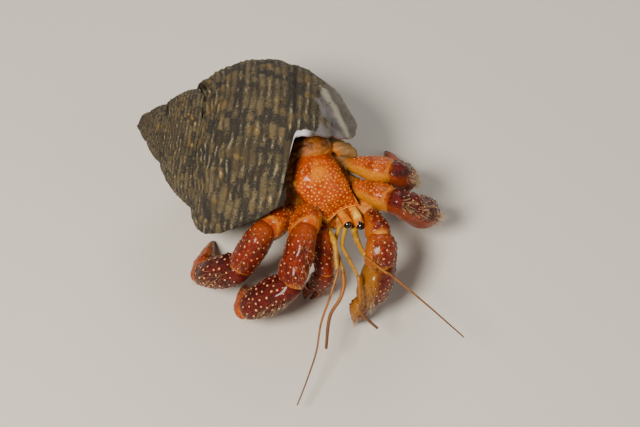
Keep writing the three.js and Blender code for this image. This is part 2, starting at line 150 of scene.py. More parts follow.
class Shader:
    def __init__(self, name, **principled):
        self.material = bpy.data.materials.new(name)
        self.material.use_nodes = True
        self.tree = self.material.node_tree
        self.principled = self.tree.nodes["Principled BSDF"]
        for key, value in principled.items():
            self.principled.inputs[key.replace("_", " ").title()].default_value = value

    def node(self, kind, settings=None, values=None, output=0):
        made = self.tree.nodes.new(kind)
        for key, value in (settings or {}).items():
            setattr(made, key, value)
        for key, value in (values or {}).items():
            if isinstance(value, Sock):
                self.tree.links.new(value.socket, made.inputs[key])
            else:
                made.inputs[key].default_value = value
        return Sock(self, made.outputs[output])

    def attribute(self, name, output=2):
        return self.node("ShaderNodeAttribute", {"attribute_name": name}, output=output)

    def place(self):
        """Where a point lies on the object, in millimetres."""
        coordinates = self.node("ShaderNodeTexCoord", output="Object")
        in_millimetres = {0: coordinates, 3: 1 / MM}
        return self.node("ShaderNodeVectorMath", {"operation": "SCALE"}, in_millimetres)

    def noise(self, vector, scale, detail=3.0, roughness=0.55, output=0):
        values = {"Vector": vector, "Scale": scale, "Detail": detail, "Roughness": roughness}
        return self.node("ShaderNodeTexNoise", {}, values, output=output)

    def step(self, value, low, high):
        """0 below low, 1 above high, and smooth between."""
        settings = {"interpolation_type": "SMOOTHSTEP"}
        values = {"Value": value, "From Min": low, "From Max": high}
        return self.node("ShaderNodeMapRange", settings, values)

    def mix(self, factor, low, high):
        """The colour `high` where factor is 1 and `low` where it is 0."""
        settings = {"data_type": "RGBA", "clamp_factor": True}
        return self.node("ShaderNodeMix", settings, {0: factor, 6: low, 7: high}, output=2)

    def bump(self, height, distance, strength=1.0):
        values = {"Height": height, "Distance": distance, "Strength": strength}
        bumped = self.node("ShaderNodeBump", {}, values)
        self.tree.links.new(bumped.socket, self.principled.inputs["Normal"])

    def set(self, name, value):
        self.tree.links.new(value.socket, self.principled.inputs[name])


def colour(red, green, blue):
    """A colour given as it looks on a screen, from 0 to 255, as the renderer needs it."""
    return tuple(((c / 255 + 0.055) / 1.055) ** 2.4 for c in (red, green, blue)) + (1.0,)


print("workshop ready")


# %% [markdown]
# ## The shell
#
# A turban shell is a tube that winds round an axis and widens by a constant factor each turn. The
# mantle that builds it lays down spiral cords, which run along the tube, and growth lines, which
# run round it. Old shells worn by crabs are chipped at the lip, and there the pearly inner layer
# shows.

# %% The winding
APEX = Vector((-36.4, 9.3, 18.4))
AXIS_YAW = math.radians(-11.9)
AXIS_DIP = math.radians(10.9)
GROWTH_PER_TURN = 1.934
MOUTH_HEIGHT = 31.4  # along the axis, from the tip to the middle of the mouth
RING_RADIUS = 8.54  # from the axis to the middle of the tube, at the mouth
TUBE_RADIUS = 14.1  # of the tube, at the mouth
TUBE_STRETCH = 1.266  # along the axis
PILLAR_RADIUS = 0.12  # of the pillar in the middle, which the tube never passes
MOUTH_TURN = math.radians(47.7)
FIRST_TURN = -3.75 * 2 * math.pi
SUTURE = -1.44  # round the tube, where each whorl meets the one before it

shell_axis = Vector(
    (
        math.cos(AXIS_YAW) * math.cos(AXIS_DIP),
        math.sin(AXIS_YAW) * math.cos(AXIS_DIP),
        -math.sin(AXIS_DIP),
    )
)
shell_top = (Vector((0, 0, 1)) - shell_axis * shell_axis.z).normalized()
shell_front = shell_axis.cross(shell_top)


def wound(turn, around, offset):
    """Points of the wound tube, from arrays of turns, places round the tube and offsets."""
    growth = GROWTH_PER_TURN ** (turn / (2 * math.pi))
    radius = TUBE_RADIUS * growth + offset
    outward = RING_RADIUS * growth + radius * np.cos(around)
    outward = np.maximum(outward, PILLAR_RADIUS * growth)
    along = MOUTH_HEIGHT * growth + radius * TUBE_STRETCH * np.sin(around)
    angle = MOUTH_TURN + turn
    points = np.outer(along, shell_axis)
    points += np.outer(outward * np.cos(angle), shell_top)
    points += np.outer(outward * np.sin(angle), shell_front)
    return points + np.array(APEX)


print("the shell's axis points along", shell_axis)

# %% [markdown]
# The mouth is cut by a slanting plane, and above the crab's back a second plane cuts a worn notch.
# For each line along the tube the winding stops where it first meets one of them.

# %% The lip
MOUTH_TILT = math.radians(47.8)
MOUTH_LEAN = math.radians(-12)
NOTCH_EDGE = -5.4
NOTCH_TOP = np.array((0, -3.4, 30.4))
NOTCH_FACING = np.array((0, -0.87, -0.5))
LIP_SEARCH = np.linspace(-2.1, 1.7, 380)  # the turns among which the lip is looked for
radial = shell_top * math.cos(MOUTH_TURN) + shell_front * math.sin(MOUTH_TURN)
tangent = shell_front * math.cos(MOUTH_TURN) - shell_top * math.sin(MOUTH_TURN)
mouth_centre = APEX + shell_axis * MOUTH_HEIGHT + radial * RING_RADIUS
mouth_facing = tangent * math.cos(MOUTH_TILT) * math.cos(MOUTH_LEAN)
mouth_facing += shell_axis * math.sin(MOUTH_TILT)
mouth_facing += radial * math.cos(MOUTH_TILT) * math.sin(MOUTH_LEAN)


def lip_turns(around):
    """The turn at which each line along the tube reaches the lip."""
    ends = []
    for place in around:
        points = wound(LIP_SEARCH, np.full_like(LIP_SEARCH, place), 0.0)
        past_mouth = (points - np.array(mouth_centre)) @ np.array(mouth_facing) > 0
        past_notch = (points - NOTCH_TOP) @ NOTCH_FACING > 0
        past_notch &= points[:, 0] > NOTCH_EDGE
        ends.append(LIP_SEARCH[int(np.argmax(past_mouth | past_notch))])
    return np.array(ends)


print("the mouth's middle is at", mouth_centre)

# %% [markdown]
# The whole shell is one closed skin: from the tip along the outside to the lip, over the lip and
# back along the inside. It starts as a sphere's net of rings and columns, each of which is then
# sent to its place. The columns are close where the spiral cords show and far apart inside.

# %% The shell's surface
CORD = 0.092  # round the tube, from one spiral cord to the next
CORDS_SHOWN = 36
COLUMNS_PER_CORD = 4
HIDDEN_COLUMNS = 36
OUTER_ROWS = 400
LIP_ROWS = 5
INNER_ROWS = 60
WALL = 1.3
CHIPS = 0.022  # how far, as a turn, the chips of the lip reach in
LIP_ROUNDING = 0.02  # how far, as a turn, the lip's middle stands out
HOLLOW_END = -2.05  # the turn at which the hollow is closed off
RIM_WIDTH = 1.3  # of the chipped, pearly edge
PEARL_FROM = 0.30  # round the tube, where the outer layer is worn off near the mouth
RIDGE_FROM = 0.54  # a rounded ridge crosses the worn part; its place at a turn of -0.95
RIDGE_SLOPE = 0.84
BEFORE_SUTURE = 0.12  # the first column lies this far before the suture
shown = SUTURE - BEFORE_SUTURE
shown = shown + CORD / COLUMNS_PER_CORD * np.arange(CORDS_SHOWN * COLUMNS_PER_CORD)
hidden_span = 2 * math.pi - (shown[-1] - shown[0])
hidden = shown[-1] + hidden_span * (1 + np.arange(HIDDEN_COLUMNS)) / (HIDDEN_COLUMNS + 1)
around = np.concatenate([shown, hidden])
columns = len(around)
ends = lip_turns(around)
for _ in range(2):
    ends = (np.roll(ends, 1) + 2 * ends + np.roll(ends, -1)) / 4
chips = [noise.fractal((place * 5, 0, 3), 0.6, 2.0, 3) for place in around]
ends = ends + CHIPS * np.array(chips)
rows = OUTER_ROWS + LIP_ROWS + INNER_ROWS
print("shell rings", rows, "columns", columns, "lip from turn", ends.min(), "to", ends.max())

# %% [markdown]
# Each row of the net has its turn and its depth in the wall. On the outside the rows are spread by
# a power of their number, so that the tight whorls at the tip don't get more rows than they need.

# %% Rows and cords


def noise_at(points, scale, depth):
    return np.array([noise.fractal(Vector(p) * scale, 0.6, 2.0, depth) for p in points])


def shell_row(row):
    """The turn and the depth into the wall for each column of one row."""
    if row < OUTER_ROWS:
        share = row / (OUTER_ROWS - 1)
        spread = share**0.62  # rows crowd less towards the tip
        return FIRST_TURN + (ends - FIRST_TURN) * spread, np.zeros(columns)
    if row < OUTER_ROWS + LIP_ROWS:
        bend = math.pi * (row - OUTER_ROWS + 1) / (LIP_ROWS + 1)
        turn = ends + LIP_ROUNDING * math.sin(bend)
        return turn, np.full(columns, WALL * (1 - math.cos(bend)) / 2)
    share = (row - OUTER_ROWS - LIP_ROWS) / INNER_ROWS
    return ends + (HOLLOW_END - ends) * share, np.full(columns, WALL)


def cord_phase(points):
    """Where a spot lies across the cords, counted in cords. The cords waver a little."""
    return (around - SUTURE) / CORD + 0.3 * noise_at(points, 0.14, 2)


print("the outside's last row starts at turn", shell_row(OUTER_ROWS - 1)[0].min())

# %% [markdown]
# The sculpture could be a bump in the material, but then the outline would be smooth and the light
# would slide over it. So it is real shape: raised cords with beads on them, lumps and grit from
# wear, the step at the suture filled in, and a low ridge across the worn base.

# %% Relief
CORD_HEIGHT = 0.20
BEAD_HEIGHT = 0.10
LUMP_HEIGHT = 0.34
GRIT_HEIGHT = 0.16
RIDGE_HEIGHT = 0.35
SUTURE_GROOVE = 0.30
SUTURE_FILL = 1.0


def relief(turn, growth, points, phase):
    """How far the outside stands out or in: cords, beads, wear and the filled suture."""
    which = np.floor(phase)
    height = CORD_HEIGHT + 0.07 * np.cos(which * math.pi) + 0.04 * np.sin(which * 1.7)
    cord = height * (np.abs(np.sin(phase * math.pi)) ** 0.8 - 0.5)
    worn = 1 / (1 + np.exp(-(around - PEARL_FROM) / 0.03)) / (1 + np.exp(-(turn + 1.8) / 0.12))
    outside = np.clip((shown[-1] - around) / 0.2, 0, 1) * (around < shown[-1])
    beads = BEAD_HEIGHT * np.sin(turn * 41 + which * 2.1)
    beads = beads + BEAD_HEIGHT * np.sin(turn * 17 + which * 1.3)
    lumps = noise_at(points, 0.22, 2)
    grit = noise_at(points, 1.1, 2)
    out = (cord + beads * (cord > -0.05)) * (1 - worn) * (1 - 0.35 * np.maximum(grit, 0))
    out = out + LUMP_HEIGHT * lumps + GRIT_HEIGHT * grit
    out = out + SUTURE_FILL * np.exp(-(((around - SUTURE) / 0.28) ** 2)) * (turn < -1.5)
    out = out - SUTURE_GROOVE * np.exp(-(((around - SUTURE - 0.05) / 0.06) ** 2))
    line = RIDGE_FROM + (turn + 0.95) * RIDGE_SLOPE
    out = out + RIDGE_HEIGHT * worn * np.exp(-(((around - line) / 0.07) ** 2))
    return outside * out * np.minimum(1.0, growth * 1.15)


print("the cords stand", CORD_HEIGHT, "mm above the grooves")

# %% [markdown]
# A sphere's net is used because its two poles close the skin at the tip and deep inside. Each
# vertex is found again by its row and column.

# %% The net
bm = bmesh.new()
bmesh.ops.create_uvsphere(bm, u_segments=columns, v_segments=rows + 1, radius=1)
uv_layer = bm.loops.layers.uv.new("Wound")
inside_layer = bm.verts.layers.float.new("inside")
rim_layer = bm.verts.layers.float.new("rim")
where = {}
by_row = {}
for vert in bm.verts:
    row = round(math.acos(max(-1.0, min(1.0, -vert.co.z))) / math.pi * (rows + 1)) - 1
    column = round(math.atan2(vert.co.y, vert.co.x) / (2 * math.pi) * columns) % columns
    where[vert] = (row, column)
    by_row.setdefault(row, {})[column] = vert
print("the net has", len(by_row), "rows and", len(bm.verts), "vertices")

# %% [markdown]
# Now the net goes to its place. Its vertices also keep three things for the paint: where they lie
# on the wound tube, whether they are inside, and how near they are to the rim.

# %% Winding the net
WOUND_SCALE = 3  # of the turn, in the map called Wound
LIP_PACE = 20  # millimetres along the outside for a turn of one radian, near the lip
winding, crossing = {}, {}
for row in range(rows):
    turn, depth = shell_row(row)
    winding[row] = turn
    growth = GROWTH_PER_TURN ** (turn / (2 * math.pi))
    offset = -depth * np.minimum(1.0, growth * 1.2)
    places = wound(turn, around, offset)
    crossing[row] = cord_phase(places)
    if row < OUTER_ROWS + LIP_ROWS:
        fade = max(0.0, 1 - depth.max() / WALL)
        offset = offset + fade * relief(turn, growth, places, crossing[row])
    for column, point in enumerate(wound(turn, around, offset)):
        vert = by_row[row][column]
        vert.co = point
        vert[inside_layer] = min(1.0, max(0.0, (row - OUTER_ROWS) / LIP_ROWS))
        from_lip = abs(ends[column] - turn[column]) * LIP_PACE
        vert[rim_layer] = max(0.0, 1 - from_lip / RIM_WIDTH)
for row, beside in ((-1, 0), (rows, rows - 1)):
    ring = [by_row[beside][column].co for column in range(columns)]
    by_row[row][0].co = sum(ring, Vector()) / columns
for face in bm.faces:
    for loop in face.loops:
        row, column = where[loop.vert]
        near = min(max(row, 0), rows - 1)
        place = crossing[near][column]
        if column == 0 and any(where[v][1] > columns / 2 for v in face.verts):
            place += 2 * math.pi / CORD
        loop[uv_layer].uv = (winding[near][column] * WOUND_SCALE, place)
print("the shell is wound from turn", winding[0][0], "to", winding[OUTER_ROWS - 1].max())

# %% [markdown]
# The outer layer is grey-brown with olive and ochre patches, with near-black dashes along the
# cords. The pearly layer under it is lilac-grey; it shows at the chipped lip, on the worn base by
# the mouth and all over the inside.

# %% The shell's colours
MUD_BROWN = colour(68, 56, 33)
OLIVE_TAN = colour(102, 88, 58)
STAIN = colour(34, 26, 14)
OCHRE = colour(116, 91, 36)
DIRT = colour(42, 34, 22)
GROWTH_TAN = colour(134, 118, 84)
DASH_BLACK = colour(20, 17, 14)
GROOVE_BROWN = colour(34, 28, 20)
CREST_CREAM = colour(192, 178, 142)
LILAC_GREY = colour(76, 70, 70)
PALE_LILAC = colour(112, 105, 104)
PEARL_STAIN = colour(78, 68, 54)
RIDGE_CREAM = colour(172, 164, 140)
WORN_OLIVE = colour(88, 76, 56)
CHIP_WHITE = colour(226, 218, 222)
shell_paint = Shader("shell", roughness=0.62)
print("the first colour of the outer layer is", MUD_BROWN)

# %% [markdown]
# Every mask starts from noise. Grit and patches are read in plain space, as dirt settles anywhere.
# Dashes, tones and growth lines are read along the wound tube, a cord at a time, because the
# mantle laid them down that way; in plain space they would run across the cords.

# %% Noise for the shell
wound_uv = shell_paint.node("ShaderNodeUVMap", {"uv_map": "Wound"})
along = shell_paint.node("ShaderNodeSeparateXYZ", {}, {0: wound_uv}, output=0)
across = shell_paint.node("ShaderNodeSeparateXYZ", {}, {0: wound_uv}, output=1)
spot = shell_paint.place()
ridge = (across * math.pi).sine()
ridge = ridge * ridge
grit = shell_paint.noise(spot, 2.6, detail=4.0, roughness=0.7)
fine = shell_paint.noise(spot, 7.0, detail=3.0, roughness=0.7)
wander = across + (grit - 0.5) * 0.9
cord_number = wander.whole()
dash_place = shell_paint.node("ShaderNodeCombineXYZ", {}, {0: along * 1.6, 1: cord_number * 5.3})
dashes = shell_paint.noise(dash_place, 1.0, detail=1.5, roughness=0.5)
tone_place = shell_paint.node("ShaderNodeCombineXYZ", {}, {0: along * 2.6, 1: cord_number * 3.1})
tones = shell_paint.noise(tone_place, 1.0, detail=3.0, roughness=0.65)
patches = shell_paint.noise(spot, 0.16, detail=3.0)
ochre = shell_paint.noise(spot, 0.34, detail=3.0)
growth_place = shell_paint.node("ShaderNodeCombineXYZ", {}, {0: along * 9, 1: across * 0.35})
growth_lines = shell_paint.noise(growth_place, 1.0, detail=3.0, roughness=0.7)
print("the shell's material has", len(shell_paint.tree.nodes), "nodes so far")

# %% [markdown]
# The colours are laid over each other as on a painted cast: ground, stains, ochre, dirt and growth
# lines first, then the dark dashes, the shade in the grooves and the cream of rubbed crests.

# %% The outer layer
ground = shell_paint.mix(shell_paint.step(patches, 0.35, 0.65), MUD_BROWN, OLIVE_TAN)
stained = shell_paint.step(tones * 0.6 + grit * 0.4, 0.47, 0.60)
ground = shell_paint.mix(stained * 0.85, ground, STAIN)
ground = shell_paint.mix(shell_paint.step(ochre + tones * 0.3, 0.68, 0.84) * 0.8, ground, OCHRE)
ground = shell_paint.mix(shell_paint.step(grit, 0.50, 0.72) * 0.6, ground, DIRT)
ground = shell_paint.mix(shell_paint.step(growth_lines, 0.55, 0.75) * 0.35, ground, GROWTH_TAN)
dark = shell_paint.step(dashes * 0.75 + grit * 0.25 + (patches - 0.5) * 0.3, 0.505, 0.56)
dark = dark * shell_paint.step(fine, 0.30, 0.48)
ground = shell_paint.mix(dark * 0.92, ground, DASH_BLACK)
groove = 1 - shell_paint.step(ridge, 0.0, 0.4)
ground = shell_paint.mix(groove * 0.6, ground, GROOVE_BROWN)
crest = shell_paint.step(ridge, 0.6, 1.0) * shell_paint.step(fine + tones, 1.05, 1.2)
ground = shell_paint.mix(crest * 0.6, ground, CREST_CREAM)
print("the outer layer is painted")

# %% [markdown]
# The pearly layer is the same shell with the outer one gone, so it is a second colour on the same
# surface, laid on by masks: the worn base near the mouth, everything inside, and the chipped rim
# over the crab's back, which is the whitest.

# %% The pearly layer
RIDGE_ACROSS = (RIDGE_FROM - SUTURE) / CORD
pearl = shell_paint.mix(shell_paint.step(ochre, 0.35, 0.65), LILAC_GREY, PALE_LILAC)
pearl = shell_paint.mix(shell_paint.step(grit, 0.46, 0.72) * 0.7, pearl, PEARL_STAIN)
ridge_line = RIDGE_ACROSS + (along / WOUND_SCALE + 0.95) * RIDGE_SLOPE / CORD
ridge_light = 1 - shell_paint.step((across - ridge_line).size(), 0.3, 1.3)
pearl = shell_paint.mix(ridge_light * 0.6, pearl, RIDGE_CREAM)
past_ridge = shell_paint.step(across - ridge_line, 0.6, 2.2)
pearl = shell_paint.mix(past_ridge * 0.7, pearl, WORN_OLIVE)
near_mouth = shell_paint.step(along, -6.4, -4.6)
worn_base = shell_paint.step(across + grit * 2.0 + (ochre - 0.5) * 7, 20.3, 20.9) * near_mouth
at_notch = 1 - shell_paint.step(along, -1.25, -0.75)
at_notch = at_notch * (1 - shell_paint.step(across + grit, 17.6, 19.0))
chipped = shell_paint.step(shell_paint.attribute("rim") + grit * 0.5, 0.62, 0.86) * at_notch
inside = shell_paint.step(shell_paint.attribute("inside"), 0.25, 0.8)
bare = (worn_base + inside).clamped()
shell_colour = shell_paint.mix(bare, ground, pearl)
shell_colour = shell_paint.mix(chipped, shell_colour, CHIP_WHITE)
shell_paint.set("Base Color", shell_colour)
shell_paint.set("Roughness", 0.66 - bare * 0.3 + grit * 0.1)
shell_paint.bump(grit * 0.8 + fine * 0.4 + growth_lines * 0.7 * (1 - bare), 0.00035)

hand_over("turban_shell", bm, shell_paint.material, "shell", ["shell"])


# %% [markdown]
# ## The plates
#
# Each joint of a limb is a hollow plate of hard shell, widest in the middle, with a rolled rim at
# each end from which the soft skin comes out. It is made from a sphere's net: one pole lies at the
# bottom of the near opening and the other at the bottom of the far one.

# %% The crab's own directions
HEADING = math.radians(27.8)
NOSE_DOWN = math.radians(37)
BODY_CENTRE = Vector((1.75, -7.9, 23.5))
forward = Vector(
    (
        math.cos(NOSE_DOWN) * math.sin(HEADING),
        -math.cos(NOSE_DOWN) * math.cos(HEADING),
        -math.sin(NOSE_DOWN),
    )
)
left = Vector((math.cos(HEADING), math.sin(HEADING), 0))
dorsal = forward.cross(left)


def body(ahead, to_left, up):
    return BODY_CENTRE + forward * ahead + left * to_left + dorsal * up


def ease(value, low, high):
    share = min(1.0, max(0.0, (value - low) / (high - low)))
    return share * share * (3 - 2 * share)


print("the crab faces", forward, "and its back faces", dorsal)

# %% [markdown]
# A profile gives, from the bottom of one opening round to the bottom of the other, the place along
# the plate and the radius there, both as shares. Each kind of joint could be sculpted by hand, but
# then no two legs would match. One profile for each kind keeps them alike.

# %% Profiles
PROFILES = {
    "merus": (
        (0.04, 0), (0.01, 0.25), (0.0, 0.4), (0.05, 0.48), (0.2, 0.6), (0.38, 0.75), (0.58, 0.92),
        (0.74, 1.0), (0.86, 0.96), (0.93, 0.86), (0.97, 0.7), (0.99, 0.48), (1.0, 0.22), (1.0, 0),
    ),
    "carpus": (
        (0.0, 0), (0.0, 0.2), (0.015, 0.4), (0.06, 0.6), (0.17, 0.80), (0.35, 0.94), (0.58, 1.0),
        (0.78, 0.99), (0.92, 0.90), (0.98, 0.81), (1.0, 0.72), (0.97, 0.5), (0.94, 0.25), (0.93, 0),
    ),
    "propodus": (
        (0.03, 0), (0.0, 0.4), (0.0, 0.58), (0.04, 0.69), (0.15, 0.84), (0.32, 0.97), (0.5, 1.0),
        (0.7, 0.92), (0.86, 0.78), (0.96, 0.64), (1.0, 0.54), (0.98, 0.4), (0.96, 0.2), (0.95, 0),
    ),
    "dactyl": (
        (0.0, 0), (0.0, 0.4), (0.02, 0.72), (0.08, 0.94), (0.2, 1.0), (0.36, 0.9), (0.55, 0.7),
        (0.72, 0.52), (0.86, 0.37), (0.95, 0.25), (0.99, 0.15), (1.0, 0),
    ),
    "palm": (
        (0.04, 0), (0.0, 0.36), (0.0, 0.56), (0.04, 0.72), (0.16, 0.9), (0.4, 1.0), (0.62, 0.98),
        (0.82, 0.88), (0.94, 0.72), (1.0, 0.5), (1.0, 0.25), (1.0, 0),
    ),
    "tube": (
        (0.0, 0), (0.0, 0.6), (0.02, 0.9), (0.2, 1.0), (0.5, 0.94), (0.8, 1.0), (0.97, 1.0),
        (1.0, 0.8), (0.99, 0.5), (0.99, 0),
    ),
    "bead": (
        (0.0, 0), (0.02, 0.28), (0.07, 0.52), (0.25, 0.87), (0.5, 1.0), (0.75, 0.87), (0.93, 0.52),
        (0.98, 0.28), (1.0, 0),
    ),
}
print(len(PROFILES), "profiles")

# %% [markdown]
# A smooth curve is drawn through a profile's points. Steps along it are measured as if the plate
# were about as long as it is wide, so that the net's rings lie evenly spaced on the finished plate.

# %% The curve through a profile
LENGTH_FOR_RADIUS = 2.2  # a plate's length is about this many times its radius


def profile_at(profile, share):
    """The place along and the radius, a share of the way round a profile."""
    points = PROFILES[profile]
    steps = [0.0]
    for a, b in zip(points, points[1:]):
        steps.append(steps[-1] + math.hypot((b[0] - a[0]) * LENGTH_FOR_RADIUS, b[1] - a[1]))
    place = share * steps[-1]
    last = max(i for i in range(len(points) - 1) if steps[i] <= place)
    t = (place - steps[last]) / (steps[last + 1] - steps[last])
    a, b = points[last], points[last + 1]
    before = points[max(last - 1, 0)]
    after = points[min(last + 2, len(points) - 1)]
    blend = []
    for k in range(2):
        m0, m1 = (b[k] - before[k]) / 2, (after[k] - a[k]) / 2
        h00, h10 = 2 * t**3 - 3 * t**2 + 1, t**3 - 2 * t**2 + t
        h01, h11 = -2 * t**3 + 3 * t**2, t**3 - t**2
        blend.append(h00 * a[k] + h10 * m0 + h01 * b[k] + h11 * m1)
    return blend[0], max(blend[1], 0.0)


print("halfway round a merus the profile is at", profile_at("merus", 0.5))

# %% [markdown]
# A plate could be a lathe form, but a crab's limbs are flattened, and their upper edges are
# sharper than their faces. So the section is a rounded box, wide one way and thin the other, and
# slow waves keep two plates from being alike.

# %% A plate's shape
EDGE_THINNING = 0.20  # how much thinner the upper edge is
BOXINESS = 0.84  # the power that squares the section; 1 would be an ellipse
SLOW_WAVE = 0.30
QUICK_WAVE = 0.08


class Plate:
    """A plate between two joints. `flat` is the direction in which it is thin."""

    def __init__(self, start, end, bow, flat, profile, width, depth, outer, seed=0):
        self.start, self.end = start, end
        self.middle = (start + end) / 2 + bow
        self.flat, self.profile = flat, profile
        self.width, self.depth = width, depth
        self.outer = outer.normalized()
        self.seed = seed

    def point(self, share, angle):
        """The angle is 0 on the upper edge, and a quarter turn either way is a flat side."""
        along, radius = profile_at(self.profile, share)
        t = min(max(along, 0.0), 1.0)
        centre = self.start * (1 - t) ** 2 + self.middle * 2 * t * (1 - t) + self.end * t * t
        tangent = ((self.middle - self.start) * (1 - t) + (self.end - self.middle) * t).normalized()
        across = tangent.cross(self.flat).normalized()
        through = across.cross(tangent)
        thin = 1 - EDGE_THINNING * max(0.0, math.cos(angle)) ** 2
        wide = math.copysign(abs(math.cos(angle)) ** BOXINESS, math.cos(angle))
        deep = math.copysign(abs(math.sin(angle)) ** BOXINESS, math.sin(angle))
        side = radius * self.width / 2 * wide
        face = radius * self.depth / 2 * deep * thin
        place = centre + across * side + through * face
        wave = noise.noise(place * 0.38 + Vector((self.seed, 0, 0))) * SLOW_WAVE
        wave += noise.noise(place * 1.1) * QUICK_WAVE
        return place + (across * math.cos(angle) + through * math.sin(angle)) * wave * radius

    def normal(self, share, angle):
        step = 0.01
        one = self.point(min(share + step, 1), angle) - self.point(max(share - step, 0), angle)
        two = self.point(share, angle + step) - self.point(share, angle - step)
        return one.cross(two).normalized()

    def along(self, share):
        return profile_at(self.profile, share)[0]


# %% [markdown]
# Three numbers are kept on every plate for its paint: how much of a pearly granule a spot is, how
# far along the plate it lies, and how squarely it faces outwards. The paint then knows a granule's
# top or a plate's rim wherever it lies, which a pattern laid over the whole animal couldn't.

# %% Making a plate
KEPT_FOR_PAINT = ("pearl", "along", "facing")


def new_plate_mesh():
    bm = bmesh.new()
    for name in KEPT_FOR_PAINT:
        bm.verts.layers.float.new(name)
    return bm


def mark(bm, vert, *values):
    for name, value in zip(KEPT_FOR_PAINT, values):
        vert[bm.verts.layers.float[name]] = value


def sphere_net(bm, sides, rings, from_top=False):
    """Each vertex of a new sphere, its share of the way from pole to pole, and its angle."""
    made = bmesh.ops.create_uvsphere(bm, u_segments=sides, v_segments=rings, radius=1)
    for vert in made["verts"]:
        height = vert.co.z if from_top else -vert.co.z
        share = math.acos(max(-1.0, min(1.0, height))) / math.pi
        yield vert, share, math.atan2(vert.co.y, vert.co.x)


def add_plate(bm, plate, sides=40, rings=44):
    for vert, share, angle in sphere_net(bm, sides, rings):
        facing = plate.normal(min(max(share, 0.03), 0.97), angle).dot(plate.outer)
        mark(bm, vert, 0.0, plate.along(share), facing)
        vert.co = plate.point(share, angle)


print("each plate keeps", KEPT_FOR_PAINT)

# %% [markdown]
# The granules are what this crab is known for: hundreds of small pearly domes on a red ground.
# Painted dots would look flat in a raking light, so each one is a dome of its own, sunk a little
# into the plate. Spots are tried at random, and one too near another is thrown away.

# %% Granules


def add_dome(bm, place, normal, radius, height, along, facing):
    """One granule: a small dome, sunk a little into the plate."""
    turn = normal.to_track_quat("Z", "Y").to_matrix().to_4x4()
    flatten = Matrix.Diagonal((radius, radius, height, 1))
    made = bmesh.ops.create_icosphere(
        bm, subdivisions=2, radius=1, matrix=Matrix.Translation(place) @ turn @ flatten
    )
    for vert in made["verts"]:
        mark(bm, vert, max(0.0, (vert.co - place).dot(normal)) / height, along, facing)


def add_granules(bm, plate, spacing, radius, reach=(0.12, 0.9), tries=2600, least=-0.25):
    """Granules scattered over a plate's outer side, never closer together than the spacing."""
    random_here = random.Random(plate.seed)
    kept = []
    for _ in range(tries):
        share = random_here.uniform(0.08, 0.92)
        angle = random_here.uniform(-math.pi, math.pi)
        along = plate.along(share)
        if not reach[0] < along < reach[1]:
            continue
        place = plate.point(share, angle)
        if any((place - other).length < spacing for other in kept):
            continue
        normal = plate.normal(share, angle)
        facing = normal.dot(plate.outer)
        if facing < least:
            continue
        kept.append(place)
        size = radius * random_here.uniform(0.75, 1.15) * (0.7 + 0.3 * ease(facing, -0.2, 0.5))
        size *= 0.65 + 0.35 * ease(min(along - reach[0], reach[1] - along), 0.0, 0.15)
        add_dome(bm, place - normal * size * 0.15, normal, size, size * 0.72, along, facing)
    return len(kept)


print("granules ready")

# %% [markdown]
# The paint of a plate: red outside and yellow-orange inside, paler at the rims, with deep maroon
# clouds between the granules, whose tops are cream.

# %% Plate paint
LOW_GLOSS = 0.18  # the specular level of horn; more would wash the reds out
THIN_COAT = 0.2
RIM_ORANGE = colour(196, 116, 26)


def plate_paint(
    name, red, deep, inner, pearl, claw_tip=None, maroon=0.6, rough=0.40, rim=RIM_ORANGE,
    rim_at=1.0, root=None,
):
    paint = Shader(name, roughness=rough, coat_roughness=0.14)
    spot = paint.place()
    clouds = paint.noise(spot, 0.45, detail=3.0)
    mottle = paint.noise(spot, 1.7, detail=3.0, roughness=0.6)
    grain = paint.noise(spot, 6.0, detail=2.0)
    facing = paint.attribute("facing")
    along = paint.attribute("along")
    body_colour = paint.mix(paint.step(clouds, 0.40, 0.62) * maroon, red, deep)
    body_colour = paint.mix(paint.step(mottle, 0.52, 0.70) * 0.45, body_colour, inner)
    inside = 1 - paint.step(facing + (clouds - 0.5) * 0.8, -0.35, 0.25)
    body_colour = paint.mix(inside, body_colour, inner)
    worn_along = along + (mottle - 0.5) * 0.08
    edge = paint.step(worn_along, rim_at - 0.07, rim_at - 0.01)
    edge = edge * (1 - paint.step(along, rim_at, rim_at + 0.012))
    if root:
        body_colour = paint.mix((1 - paint.step(worn_along, 0.06, 0.42)) * 0.8, body_colour, root)
    body_colour = paint.mix(edge * 0.8, body_colour, rim)
    if claw_tip:
        body_colour = paint.mix(paint.step(along, 0.84, 0.93), body_colour, claw_tip)
    granule = paint.attribute("pearl")
    halo = paint.step(granule, 0.02, 0.25) * 0.8
    body_colour = paint.mix(halo, body_colour, red)
    body_colour = paint.mix(paint.step(granule, 0.5, 0.95) * 0.95, body_colour, pearl)
    paint.set("Base Color", body_colour)
    paint.set("Roughness", rough - 0.08 + mottle * 0.16)
    paint.bump(grain + mottle * 2.0, 0.00020)
    paint.principled.inputs["Specular IOR Level"].default_value = LOW_GLOSS
    paint.principled.inputs["Coat Weight"].default_value = THIN_COAT
    return paint.material


print("plates have a specular level of", LOW_GLOSS, "and a coat of", THIN_COAT)

# %% [markdown]
# Each kind of plate has its own reds. The colours are the plate's red, the deep red of its clouds,
# its inner side and its granules. One red for all would lose the banded look of the legs.

